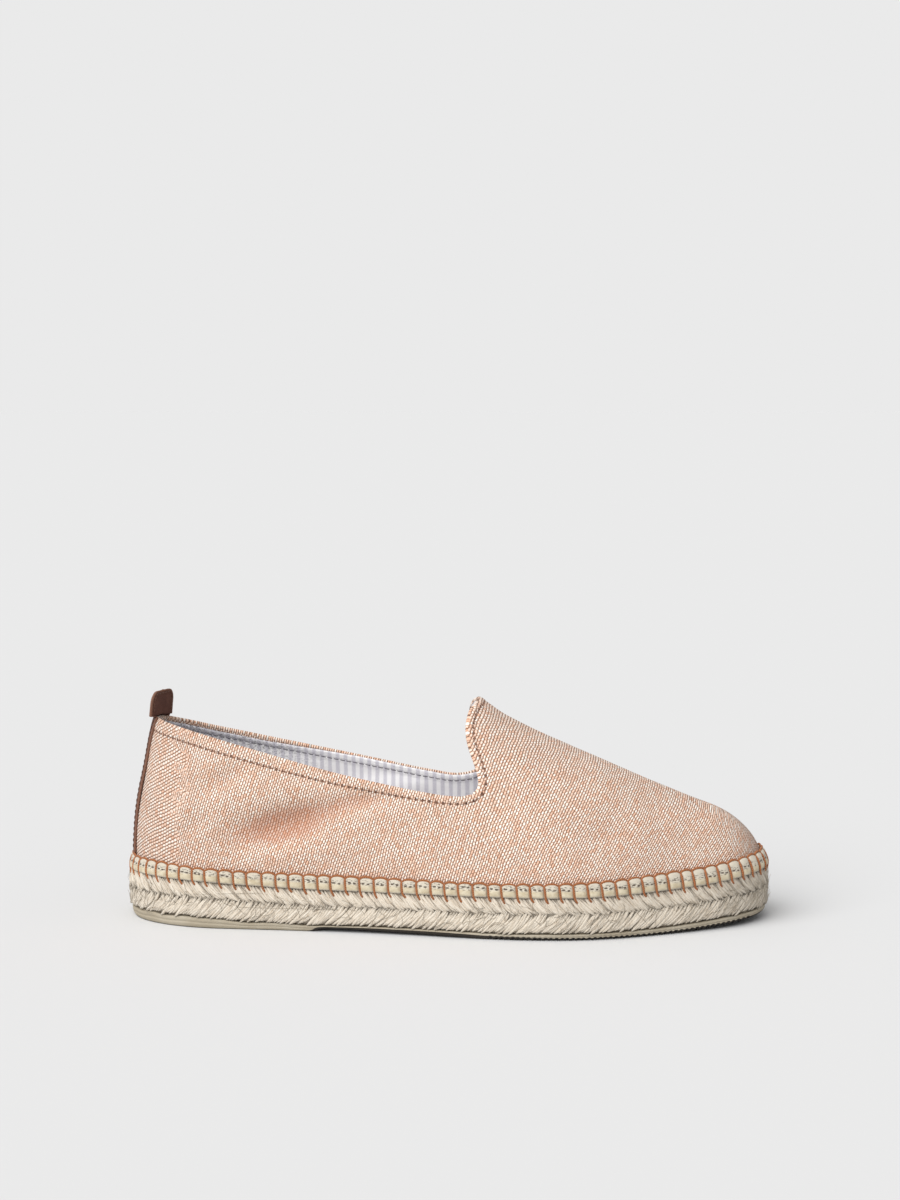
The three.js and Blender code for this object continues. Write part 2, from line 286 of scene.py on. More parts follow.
def loopPlace(t, side):
    return t if side < 0 else 2 - t


def collarAngle(t, side):
    edge = collar["lateral" if side < 0 else "medial"]

    def isBelow(angle):
        point = lastPoint(loopPlace(t, side), angle)
        return point[..., 2] < np.where(t <= 0, collar["lateral"](point[..., 0]), edge(point[..., 0]))

    return bisect(0 * t, 0 * t + quarterTurn, isBelow)


def throatStart(angle, side):
    def isBelow(t):
        point = lastPoint(loopPlace(t, side), angle)
        return point[..., 0] < throat["x"](np.maximum(point[..., 2], last["cornerHeight"]))

    return bisect(0 * angle + 0.3, 0 * angle + 0.7, isBelow)


def cornerHeightAt(angle):
    return lastPoint(throatStart(angle, -1), angle)[..., 2]


cornerAngle = float(bisect(0.2, 1.2, lambda angle: cornerHeightAt(angle) < last["cornerHeight"]))


grainsPerMillimetre = 1000  # corners that round to the same grain become one vertex


class Form:  # points, faces and the values that vary over them, put together before they become a mesh
    def __init__(self, *valueNames):
        self.points, self.faces, self.count = [], [], 0
        self.values = {name: [] for name in valueNames}

    def surface(self, points, **values):  # a grid of four-sided faces
        numbers = self.count + np.arange(points[..., 0].size).reshape(points.shape[:-1])
        self.points.append(points.reshape(-1, 3))
        for name, kept in self.values.items():
            kept.append(np.broadcast_to(values[name], points.shape).reshape(-1, 3))
        self.count += numbers.size
        corners = [numbers[:-1, :-1], numbers[:-1, 1:], numbers[1:, 1:], numbers[1:, :-1]]
        self.faces.append(np.stack(corners, -1).reshape(-1, 4))

    def mesh(self, name):  # corners that coincide are merged, and faces are turned outwards
        points = np.concatenate(self.points)
        keys = np.round(points * grainsPerMillimetre).astype(np.int64)
        first, merged = np.unique(keys, axis=0, return_index=True, return_inverse=True)[1:]
        quads = merged.reshape(-1)[np.concatenate(self.faces)]
        faces = []
        for quad in quads.tolist():
            corners = list(dict.fromkeys(quad))
            if len(corners) > 2:
                faces.append(corners)
        mesh = bpy.data.meshes.new(name)
        mesh.from_pydata(points[first] * mm, [], faces)
        for label, kept in self.values.items():
            attribute = mesh.attributes.new(label, "FLOAT_VECTOR", "POINT")
            attribute.data.foreach_set("vector", np.concatenate(kept)[first].astype(np.float32).ravel())
        outwards(mesh)
        return mesh


def outwards(mesh):  # turns the faces out and shades them smooth
    shape = bmesh.new()
    shape.from_mesh(mesh)
    bmesh.ops.recalc_face_normals(shape, faces=shape.faces)
    shape.to_mesh(mesh)
    shape.free()
    mesh.shade_smooth()


def addObject(name, mesh, material=None):
    made = bpy.data.objects.new(name, mesh)
    bpy.context.scene.collection.objects.link(made)
    if material:
        mesh.materials.clear()
        mesh.materials.append(material)
    return made


def finishPiece(piece, slot, *replaced):
    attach(piece, "root")
    if replaced:
        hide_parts(*replaced)
    print(piece.name, "has", sum(len(face.vertices) - 2 for face in piece.data.polygons), "triangles")


class Wire:  # one socket; sums of wires add Math nodes, and node() adds any other
    def __init__(self, tree, socket):
        self.tree, self.socket = tree, socket

    def node(self, kind, settings=None, values=None, output=0):
        made = self.tree.nodes.new(kind)
        for name, value in (settings or {}).items():
            setattr(made, name, value)
        for name, value in (values or {}).items():
            if isinstance(value, Wire):
                self.tree.links.new(value.socket, made.inputs[name])
            else:
                made.inputs[name].default_value = value
        return Wire(self.tree, made.outputs[output])

    def maths(self, operation, *values):
        return self.node("ShaderNodeMath", {"operation": operation}, dict(enumerate(values)))

    def __add__(self, other):
        return self.maths("ADD", self, other)

    def __radd__(self, other):
        return self.maths("ADD", other, self)

    def __sub__(self, other):
        return self.maths("SUBTRACT", self, other)

    def __rsub__(self, other):
        return self.maths("SUBTRACT", other, self)

    def __mul__(self, other):
        return self.maths("MULTIPLY", self, other)

    def __rmul__(self, other):
        return self.maths("MULTIPLY", other, self)

    def __truediv__(self, other):
        return self.maths("DIVIDE", self, other)

    def __pow__(self, other):
        return self.maths("POWER", self, other)

    def floor(self):
        return self.maths("FLOOR", self)

    def fraction(self):
        return self.maths("FRACT", self)

    def absolute(self):
        return self.maths("ABSOLUTE", self)

    def fromMiddle(self):  # 0 in the middle of each whole step, 0.5 at its ends
        return (self.fraction() - 0.5).absolute()

    def least(self, other):
        return self.maths("MINIMUM", self, other)

    def step(self, start, end):  # 0 at start, 1 at end, smooth between
        values = {"Value": self, "From Min": start, "From Max": end}
        return self.node("ShaderNodeMapRange", {"interpolation_type": "SMOOTHSTEP"}, values)

    def mix(self, first, second):  # colours, by this wire as the factor
        return self.node("ShaderNodeMix", {"data_type": "RGBA"}, {0: self, 6: first, 7: second}, 2)

    def blend(self, first, second):  # numbers, by this wire as the factor
        return first + (second - first) * self

    def darken(self, colour, amount):  # colour times 1 - amount * this wire
        values = {0: colour, "Scale": 1 - self * amount}
        return self.node("ShaderNodeVectorMath", {"operation": "SCALE"}, values)

    def parts(self):
        made = self.node("ShaderNodeSeparateXYZ", None, {"Vector": self}).socket.node
        return [Wire(self.tree, output) for output in made.outputs]


def pigment(red, green, blue, share=0.8):  # a colour as seen on a screen, and the share of it that is paint
    values = [v / 255 for v in (red, green, blue)]
    linear = [v / 12.92 if v <= 0.04045 else ((v + 0.055) / 1.055) ** 2.4 for v in values]
    return (*(v * share for v in linear), 1.0)


def grey(level):
    return (level, level, level, 1)


def startMaterial(name):  # an empty material and a wire to its nodes
    material = bpy.data.materials.new(name)
    material.use_nodes = True
    tree = material.node_tree
    tree.nodes.clear()
    return material, Wire(tree, None)


def readAttribute(wire, name):
    return wire.node("ShaderNodeAttribute", {"attribute_name": name}, None, 1)


def objectPlace(wire):
    return wire.node("ShaderNodeTexCoord", None, None, 3)


def vector(wire, x, y, z=0.0):
    return wire.node("ShaderNodeCombineXYZ", None, {"X": x, "Y": y, "Z": z})


def noise(wire, place, scale, detail=2.0, roughness=0.5):
    values = {"Vector": place, "Scale": scale, "Detail": detail, "Roughness": roughness}
    return wire.node("ShaderNodeTexNoise", None, values)


def flatNoise(wire, x, y, detail=2.0, roughness=0.5):
    return noise(wire, vector(wire, x, y), 1.0, detail, roughness)


def chance(wire, x, y):  # one random number for each whole pair
    return wire.node("ShaderNodeTexWhiteNoise", {"noise_dimensions": "2D"}, {"Vector": vector(wire, x, y)})


def showSurface(wire, surface):
    output = wire.tree.nodes.new("ShaderNodeOutputMaterial")
    wire.tree.links.new(surface.socket, output.inputs["Surface"])


def closeMaterial(wire, colour, roughness, height, look):  # bump depth, gloss and sheen are plain numbers
    bump = {"Strength": 1.0, "Distance": look["bump"] * mm, "Height": height}
    showSurface(wire, wire.node("ShaderNodeBsdfPrincipled", None, {
        "Base Color": colour, "Roughness": roughness, "Normal": wire.node("ShaderNodeBump", None, bump),
        "Specular IOR Level": look["gloss"], "Sheen Weight": look["sheen"]}))


canvasLook = {  # weaves: lean in degrees, pitch of the ribs, length of the floats
    "heelWeave": (25.0, 1.38, 1.7),
    "sideWeave": (73.0, 1.09, 1.82),
    "heelEdge": (-122.0, -118.0),  # where one weave turns into the other
    "stagger": 0.44,
    "bend": 0.0038,
    "bendFrom": (10.0, 30.0),
    "heelShade": (-92.0, -138.0),
    "toeShade": (116.0, 150.0),
    "peach": pigment(251, 211, 185, 0.95),
    "deepPeach": pigment(241, 186, 153, 0.95),
    # cream is the painted highlight on the floats, gap the painted shade between them
    "cream": pigment(255, 248, 238, 1.0),
    "gap": pigment(98, 72, 56),
    "hollowShade": pigment(206, 134, 100),
    "hole": pigment(84, 52, 40),
    "stitchPitch": 3.0,
    "bump": 0.45, "gloss": 0.2, "sheen": 0.15,
}


def ribs(wire, across, along):  # a coarse twill: ribs broken into short staggered floats
    row = across.floor()
    run = along + row * canvasLook["stagger"] + chance(wire, row, 3.0) * 0.16
    ribShape = 1 - (across.fromMiddle() * 2) ** 2.2
    floatShape = 1 - (run.fromMiddle() * 2) ** 3.5
    return ribShape * (0.25 + floatShape * 0.75), chance(wire, row, run.floor())


def canvasMaterial():
    look = canvasLook
    material, wire = startMaterial("canvas")
    u, v, height = readAttribute(wire, "cloth").parts()
    run, offset, fold = readAttribute(wire, "hem").parts()
    waver = flatNoise(wire, u * 0.09, v * 0.09)
    ripple = flatNoise(wire, u * 0.55, v * 0.55)
    bodies = []
    ahead = u - look["bendFrom"][0]
    bend = (ahead + ahead.absolute()) * (height - look["bendFrom"][1]) * look["bend"] / 2
    for lean, pitch, length in (look["heelWeave"], look["sideWeave"]):
        sine, cosine = math.sin(math.radians(lean)), math.cos(math.radians(lean))
        across = (u * sine - height * cosine - bend + waver * 1.6 + ripple * 0.5) / pitch
        along = (u * cosine + v * sine + ripple * 0.4) / length
        bodies.append(ribs(wire, across, along))
    (heelBody, heelPick), (sideBody, sidePick) = bodies
    ragged = flatNoise(wire, u * 0.16, v * 0.16) * 30 - 15
    forward = (u + ragged).step(*look["heelEdge"])
    body = forward.blend(heelBody, sideBody)
    pick = forward.blend(heelPick, sidePick)
    fibre = flatNoise(wire, u * 2.2, v * 2.2, 3.0, 0.7)
    cloud = flatNoise(wire, u * 0.035, v * 0.05, 3.0)
    colour = (pick * 0.8 + fibre * 0.4).step(0.3, 0.95).mix(look["peach"], look["deepPeach"])
    size = (pick * 7.0).fraction()
    grain = flatNoise(wire, u * 1.1, v * 1.1, 3.0, 0.8)
    # painted highlight: the top of each float turns cream, more on some floats than others; the gaps between
    # ribs and floats are painted dark as shade
    floatHighlight = (body + size * 0.16 + grain * 0.5 - 0.33).step(0.55, 0.98) * size.step(-0.35, 0.9)
    colour = floatHighlight.mix(colour, look["cream"])
    colour = (body.step(0.03, 0.56) * 0.94 + 0.06).mix(look["gap"], colour)
    colour = (cloud.step(0.35, 0.75) + (fibre - 0.5).absolute() * 2).darken(colour, 0.06)
    colour = grain.step(0.46, 0.7).darken(colour, 0.34)
    ends = u.step(*look["toeShade"]) * 1.8 + u.step(*look["heelShade"])
    colour = ends.darken(colour, 0.14)
    # painted shade: the canvas turns darker and more orange where the wall sinks into a hollow, fold being
    # that depth
    colour = (fold * 0.5).mix(colour, look["hollowShade"])
    # painted shade in the needle holes between the hem stitches
    hole = (run / look["stitchPitch"]).fromMiddle().step(0.34, 0.44) * offset.absolute().step(0.8, 0.35)
    colour = (hole * 0.95).mix(colour, look["hole"])
    height = body + fibre * 0.25 - hole
    closeMaterial(wire, colour, 0.9, height, look)
    return material


liningLook = {
    "stripePitch": 3.7,
    "white": pigment(254, 252, 252, 0.97),
    "grey": pigment(214, 211, 219, 0.97),
    "hemGrey": pigment(214, 211, 220, 0.95),
    "hemDark": pigment(86, 82, 86),
    "hemEnd": (-30.0, -92.0),
    "darkPatchRun": (-45.0, -95.0),
    "bump": 0.12, "gloss": 0.2, "sheen": 0.1,
}


def liningMaterial():
    look = liningLook
    material, wire = startMaterial("lining")
    u, v = readAttribute(wire, "cloth").parts()[:2]
    offset = readAttribute(wire, "hem").parts()[1]
    waver = flatNoise(wire, u * 0.3, v * 0.1)
    stripe = ((u + waver * 0.5) / look["stripePitch"]).fromMiddle().step(0.18, 0.34)
    thread = (u * 2.0).fromMiddle() + (v * 2.0).fromMiddle()
    speckle = flatNoise(wire, u * 3.0, v * 1.2, 2.0, 0.8)
    mottle = flatNoise(wire, u * 0.9, v * 1.6, 3.0, 0.7)
    colour = (stripe * (0.4 + speckle * 0.9)).mix(look["white"], look["grey"])
    hemTone = mottle.step(0.42, 0.56).mix(look["hemDark"], look["hemGrey"])
    inHem = (offset + mottle * 2 - 1).step(1.0, -0.4) * u.step(*look["hemEnd"])
    colour = (inHem * (0.15 + mottle.step(0.3, 0.6) * 0.6)).mix(colour, hemTone)
    # darker patches towards the heel
    darkPatches = flatNoise(wire, u * 0.8, v * 1.1, 3.0, 0.85).step(0.5, 0.58)
    colour = (darkPatches * u.step(*look["darkPatchRun"]) * 0.62).mix(colour, look["hemDark"])
    colour = thread.darken(colour, 0.08)
    height = speckle - thread
    closeMaterial(wire, colour, 0.92, height, look)
    return material


leatherLook = {
    "grain": pigment(96, 59, 47),
    "grainDark": pigment(72, 42, 34),
    "suede": pigment(122, 80, 66),
    "suedeDark": pigment(88, 54, 44),
    "cutEdge": pigment(150, 108, 88),
    "bump": 0.16, "gloss": 0.35, "sheen": 0.0,
}


def leatherMaterial():
    look = leatherLook
    material, wire = startMaterial("brownLeather")
    across, _, inside = readAttribute(wire, "hide").parts()
    here = objectPlace(wire)
    cells = {"Vector": here, "Scale": 1500.0}
    pores = wire.node("ShaderNodeTexVoronoi", {"feature": "DISTANCE_TO_EDGE"}, cells)
    nap = noise(wire, here, 2600.0, 3.0, 0.7)
    cloud = noise(wire, here, 160.0, 3.0)
    grain = cloud.mix(look["grainDark"], look["grain"])
    suede = (nap * 0.6 + cloud * 0.4).step(0.3, 0.7).mix(look["suedeDark"], look["suede"])
    colour = inside.mix(grain, suede)
    rim = across.step(0.9, 0.2) * (0.5 + nap * 0.6)
    colour = rim.mix(colour, look["cutEdge"])
    height = inside.blend(pores.step(0.0, 0.12), nap)
    closeMaterial(wire, colour, 0.55 + inside * 0.4, height, look)
    return material


juteLook = {
    "light": pigment(246, 236, 220, 0.83),
    "straw": pigment(224, 207, 184, 0.8),
    "deep": pigment(100, 80, 62),
    "toe": (0.1, 0.147),  # painted shade, darker towards the toe, along X in metres
    "bump": 0.4, "gloss": 0.15, "sheen": 0.1,
}


def juteMaterial():
    look = juteLook
    material, wire = startMaterial("jute")
    along, across, depth = readAttribute(wire, "strand").parts()
    tone = readAttribute(wire, "tone").parts()[0]
    shift = tone * 90
    waver = flatNoise(wire, along * 0.3 + shift, across * 0.4)
    lanes = flatNoise(wire, along * 0.16 + shift, across * 1.7 + waver * 2.0, 3.0, 0.65)
    hairs = flatNoise(wire, along * 0.35 + shift, across * 5.0 + waver * 5, 2.0, 0.6)
    fibre = lanes * 0.55 + hairs * 0.45
    colour = fibre.step(0.36, 0.6).mix(look["straw"], look["light"])
    split = lanes.step(0.40, 0.31)
    colour = (split * 0.68).mix(colour, look["deep"])
    ahead = objectPlace(wire).parts()[0]
    # painted shade towards the toe
    colour = ahead.step(*look["toe"]).darken(colour, 0.24)
    # random tone per strand, plus painted shade by depth
    colour = (tone * 0.18 + depth).darken(colour, 0.42)
    closeMaterial(wire, colour, 0.95, fibre, look)
    return material


tapeLook = {
    "cream": pigment(243, 231, 203, 0.78),
    "shade": pigment(222, 206, 174, 0.78),
    "paleTop": pigment(232, 224, 210, 0.78),
    "slit": pigment(70, 48, 34),
    "fuzz": pigment(190, 184, 176),
    "slits": ((0.34, 0.0, 0.13), (0.70, -0.25, 0.11)),  # place across a pillow, lift, half length
    "bump": 0.22, "gloss": 0.2, "sheen": 0.1,
}


def tapeMaterial():
    look = tapeLook
    material, wire = startMaterial("cottonTape")
    phase, climb, along = readAttribute(wire, "tape").parts()
    inPillow = phase.fraction()
    pillow = phase.floor()
    luck = chance(wire, pillow, 1.0)
    weave = (along * 1.7).fromMiddle() + (climb * 1.7).fromMiddle()
    cloud = flatNoise(wire, along * 0.35, climb * 0.5, 3.0)
    dashes = 0.0
    for middle, height, size in look["slits"]:
        sideways = (inPillow - middle - (luck - 0.5) * 0.12).absolute().step(size, size * 0.55)
        level = (climb - 3.5 - height - (luck - 0.5) * 0.8 - cloud * 0.6).absolute().step(0.42, 0.16)
        dashes = sideways * level + dashes
    dashes = dashes * chance(wire, pillow, 2.0).step(0.02, 0.2)
    lines = flatNoise(wire, along * 0.75 + luck * 40, climb * 2.7)
    torn = lines.step(0.43, 0.35) * (climb - 3.9).absolute().step(1.5, 0.8)
    # painted shade: a dark band beside each thread, mixed in with the slits
    shadeByThread = phase.fromMiddle().step(0.4, 0.49) * (luck * 0.4 + 0.25)
    dashes = (dashes * 0.95 + torn * 0.8 + shadeByThread).least(1.0)
    frayed = (climb + cloud * 0.8).step(1.25, 0.55)
    colour = cloud.step(0.3, 0.7).mix(look["shade"], look["cream"])
    # lighter towards the top of the tape
    colour = (climb.step(2.4, 3.6) * 0.7).mix(colour, look["paleTop"])
    colour = weave.darken(colour, 0.2)
    colour = (frayed * 0.7).mix(colour, look["fuzz"])
    colour = (dashes * 0.9).mix(colour, look["slit"])
    height = cloud * 0.5 - weave * 0.4 - dashes * 1.6
    closeMaterial(wire, colour, 0.9, height, look)
    return material


threadLook = {
    "colours": {  # light and dark of each thread
        "looseJute": ((232, 220, 200), (196, 180, 156)),
        "rustThread": ((210, 136, 86), (130, 74, 42)),
        "hemThread": ((186, 134, 106), (122, 80, 60)),
        "liningThread": ((150, 146, 154), (88, 84, 92)),
        "leatherThread": ((142, 100, 80), (92, 62, 50)),
    },
    "plies": 1.1, "bump": 0.12, "gloss": 0.25, "sheen": 0.1,
}


def threadMaterial(name):
    look = threadLook
    light, dark = [pigment(*colour) for colour in look["colours"][name]]
    material, wire = startMaterial(name)
    run = readAttribute(wire, "run").parts()[0]
    turn = readAttribute(wire, "turn").parts()[0]
    ply = (run * look["plies"] + turn * 2).fromMiddle() * 2
    fuzz = noise(wire, objectPlace(wire), 1800.0, 2.0)
    colour = (ply * 0.7 + fuzz * 0.4).mix(dark, light)
    closeMaterial(wire, colour, 0.8, ply, look)
    return material


rubberLook = {
    "crepe": pigment(202, 192, 172),
    "shade": pigment(184, 172, 150),
    # under is the colour of the painted shadow on the lower edge, also used on the underside
    "under": pigment(26, 17, 13),
    "bump": 0.1, "gloss": 0.35, "sheen": 0.0,
}


def rubberMaterial():
    look = rubberLook
    material, wire = startMaterial("rubber")
    here = objectPlace(wire)
    share, line = readAttribute(wire, "side").parts()[:2]
    cloud = noise(wire, here, 55.0, 3.0)
    grit = noise(wire, here, 1400.0, 3.0, 0.7)
    colour = cloud.step(0.3, 0.7).mix(look["shade"], look["crepe"])
    colour = grit.step(0.55, 0.75).darken(colour, 0.12)
    # painted shadow: the edge is near black up to the line, for the shaded gap beneath the sole; the
    # underside takes the same colour
    under = (share - line).step(0.06, -0.02)
    colour = (under * 0.96).mix(colour, look["under"])
    height = grit + cloud * 0.4
    closeMaterial(wire, colour, 0.62 + grit * 0.15, height, look)
    return material


print("making the materials")
canvas = canvasMaterial()
lining = liningMaterial()
brownLeather = leatherMaterial()
jute = juteMaterial()
cottonTape = tapeMaterial()
rubber = rubberMaterial()
threads = {name: threadMaterial(name) for name in threadLook["colours"]}


def startTree(name, inputs):  # a geometry tree, and its inputs by name
    tree = bpy.data.node_groups.new(name, "GeometryNodeTree")
    tree.interface.new_socket("Geometry", in_out="INPUT", socket_type="NodeSocketGeometry")
    tree.interface.new_socket("Geometry", in_out="OUTPUT", socket_type="NodeSocketGeometry")
    for label, kind in inputs.items():
        tree.interface.new_socket(label, in_out="INPUT", socket_type="NodeSocket" + kind)
    entry = tree.nodes.new("NodeGroupInput")
    return tree, {output.name: Wire(tree, output) for output in entry.outputs if output.name}


def endTree(tree, geometry, material):
    solid = geometry.node("GeometryNodeRealizeInstances", None, {"Geometry": geometry})
    solid = solid.node("GeometryNodeSetShadeSmooth", None, {"Geometry": solid, "Shade Smooth": True})
    solid = solid.node("GeometryNodeSetMaterial", None, {"Geometry": solid, "Material": material})
    tree.links.new(solid.socket, tree.nodes.new("NodeGroupOutput").inputs["Geometry"])


def cordTree():  # a round thread along each line of the mesh
    inputs = {"Radius": "Float", "Sides": "Int", "Material": "Material"}
    tree, given = startTree("cordAlongLines", inputs)
    line = given["Geometry"].node("GeometryNodeMeshToCurve", None, {"Mesh": given["Geometry"]})
    length = Wire(tree, line.node("GeometryNodeSplineParameter").socket.node.outputs["Length"])
    stored = {"Geometry": line, "Name": "run", "Value": vector(line, length / mm, 0.0)}
    kept = {"data_type": "FLOAT_VECTOR", "domain": "POINT"}
    line = line.node("GeometryNodeStoreNamedAttribute", kept, stored)
    size = {"Resolution": given["Sides"], "Radius": given["Radius"]}
    circle = line.node("GeometryNodeCurvePrimitiveCircle", None, size)
    turn = circle.node("GeometryNodeSplineParameter")
    stored = {"Geometry": circle, "Name": "turn", "Value": vector(turn, turn, 0.0)}
    circle = circle.node("GeometryNodeStoreNamedAttribute", kept, stored)
    values = {"Curve": line, "Profile Curve": circle, "Fill Caps": True}
    endTree(tree, line.node("GeometryNodeCurveToMesh", None, values), given["Material"])
    return tree


def repeatTree():  # a pattern on each point, its Z on "facing", its X on "along", scaled by "size"
    inputs = {"Patterns": "Collection", "Turn": "Float", "Seed": "Int", "Material": "Material"}
    tree, given = startTree("repeatOnPoints", inputs)
    points = given["Geometry"]
    patterns = points.node("GeometryNodeCollectionInfo", None, {
        "Collection": given["Patterns"], "Separate Children": True, "Reset Children": True})

    def named(name):
        return points.node("GeometryNodeInputNamedAttribute", {"data_type": "FLOAT_VECTOR"}, {"Name": name})

    def luck(kind, low, high, shift):
        lowSlot, highSlot, output = {"FLOAT": (2, 3, 1), "INT": (4, 5, 2)}[kind]
        values = {lowSlot: low, highSlot: high, "Seed": given["Seed"] + shift}
        return points.node("FunctionNodeRandomValue", {"data_type": kind}, values, output)

    axes = {"Primary Axis": named("facing"), "Secondary Axis": named("along")}
    rotation = points.node("FunctionNodeAxesToRotation", {"primary_axis": "Z", "secondary_axis": "X"}, axes)
    turn = vector(points, 0.0, 0.0, luck("FLOAT", -1.0, 1.0, 0) * given["Turn"])
    turn = points.node("FunctionNodeEulerToRotation", None, {"Euler": turn})
    turned = {"Rotation": rotation, "Rotate By": turn}
    rotation = points.node("FunctionNodeRotateRotation", {"rotation_space": "LOCAL"}, turned)
    placed = points.node("GeometryNodeInstanceOnPoints", None, {
        "Points": points, "Instance": patterns, "Pick Instance": True, "Rotation": rotation,
        "Instance Index": luck("INT", 0, 11, 1), "Scale": named("size")})
    stored = {"Geometry": placed, "Name": "tone", "Value": vector(points, luck("FLOAT", 0.0, 1.0, 2), 0.0)}
    kept = {"data_type": "FLOAT_VECTOR", "domain": "INSTANCE"}
    placed = placed.node("GeometryNodeStoreNamedAttribute", kept, stored)
    endTree(tree, placed, given["Material"])
    return tree


def grow(name, source, tree, values):  # runs a tree on a mesh and keeps the plain result
    holder = addObject(name, source)
    modifier = holder.modifiers.new("grow", "NODES")
    modifier.node_group = tree
    for socket in tree.interface.items_tree:
        if socket.in_out == "INPUT" and socket.name in values:
            modifier[socket.identifier] = values[socket.name]
    bpy.context.view_layer.update()
    state = bpy.context.evaluated_depsgraph_get()
    evaluated = holder.evaluated_get(state)
    grown = bpy.data.meshes.new_from_object(evaluated, preserve_all_data_layers=True, depsgraph=state)
    bpy.data.objects.remove(holder)
    return addObject(name, grown)


def growCords(name, lines, look, material):
    values = {"Radius": look["threadRadius"] * mm, "Sides": look["threadSides"], "Material": material}
    return grow(name, linesMesh(name + "Lines", lines), cords, values)


def linesMesh(name, lines):  # each line is an array of points, in millimetres
    mesh = bpy.data.meshes.new(name)
    points, edges, count = [], [], 0
    for line in lines:
        points.append(line)
        edges += [(count + i, count + i + 1) for i in range(len(line) - 1)]
        count += len(line)
    mesh.from_pydata(np.concatenate(points) * mm, edges, [])
    return mesh


def pointsMesh(name, points, facing, along, size):
    mesh = bpy.data.meshes.new(name)
    mesh.from_pydata(points * mm, [], [])
    for label, values in (("facing", facing), ("along", along), ("size", size)):
        attribute = mesh.attributes.new(label, "FLOAT_VECTOR", "POINT")
        values = np.broadcast_to(values, points.shape).astype(np.float32)
        attribute.data.foreach_set("vector", values.ravel())
    return mesh


def collect(name, meshes):  # the patterns that a tree picks from; it is never linked to the scene
    collection = bpy.data.collections.new(name)
    for i, mesh in enumerate(meshes):
        collection.objects.link(bpy.data.objects.new(f"{name}{i:02d}", mesh))
    return collection


cords = cordTree()
repeats = repeatTree()


upperLook = {  # rows, stitches and folds are measured from the edge of the opening
    "hemRows": [0.8, 1.1, 1.5, 2.1, 2.7, 3.05, 3.35, 3.7, 4.1, 4.5, 4.9, 5.25, 5.6, 6.0, 6.6, 7.5],
    "liningRows": [0.9, 1.2, 1.5, 1.8, 2.1, 2.4, 2.7, 3.0, 3.4, 3.8, 4.2, 4.5, 4.8, 5.3, 6.2, 7.5],
    "canvasCounts": (30, 38, 130, 84),  # faces up the back, up the front, along the back, along the front
    "liningCounts": (16, 22, 76, 46),
    "collarStitch": (5.7, 4.4),  # lateral and medial
    "cornerStitch": 3.3,
    "fold": 0.3,
    "groove": 0.28,
    "foldDepth": 2.0,  # how far the canvas reaches over the edge at the back
    "foldLoss": 1.35,  # and how much less it does in front
    "foldRun": (-88.0, -42.0),
    "wall": 1.8,
    "canvasStep": 0.8,
    "liningFront": 1.25,
    "liningBack": 1.45,
    "hemFold": 0.5,
}

# soft hollows of the wall: side, centre x and z, direction in degrees, half length, width, depth
creaseColumns = ("side", "x", "z", "lean", "reach", "width", "depth")
creases = [dict(zip(creaseColumns, row)) for row in (
    (-1, -71.0, 46.0, 14, 22.0, 9.6, 4.6),
    (-1, -36.0, 58.0, 12, 22.0, 5.4, 1.7),
    (-1, -97.0, 66.0, 25, 13.0, 5.5, 1.3),
    (-1, -112.0, 45.0, 38, 9.0, 4.5, 0.9),
    (-1, 24.0, 55.0, 62, 15.0, 6.0, 0.6),
    (-1, 70.0, 44.0, 40, 14.0, 7.0, 0.4),
    (1, -60.0, 47.0, 14, 24.0, 6.5, 2.6),
    (1, -96.0, 58.0, -18, 12.0, 5.0, 1.0),
    (1, -24.0, 54.0, 8, 16.0, 5.0, 1.2),
    (1, 34.0, 58.0, 58, 16.0, 6.0, 0.7),
)]


def creaseOut(points, side):
    out = 0.0
    for crease in creases:
        if crease["side"] != side:
            continue
        lean = math.radians(crease["lean"])
        dx, dz = points[..., 0] - crease["x"], points[..., 2] - crease["z"]
        along = (dx * math.cos(lean) + dz * math.sin(lean)) / crease["reach"]
        across = (dz * math.cos(lean) - dx * math.sin(lean)) / crease["width"]
        trough = (1 - 0.9 * across ** 2) * np.exp(-across ** 2 / 1.3)
        out = out - crease["depth"] * trough * np.exp(-along ** 2 * 1.1)
    return out


# the slight unevenness of soft cloth, as waves: depth, turn along X and Z, start
clothWaves = ((0.10, 0.19, 0.11, 0.0), (0.10, 0.083, -0.16, 1.0), (0.06, 0.41, 0.05, 2.0))


def unevenOut(points):
    x, z = points[..., 0], points[..., 2]
    return sum(depth * np.sin(x * turnX + z * turnZ + start) for depth, turnX, turnZ, start in clothWaves)


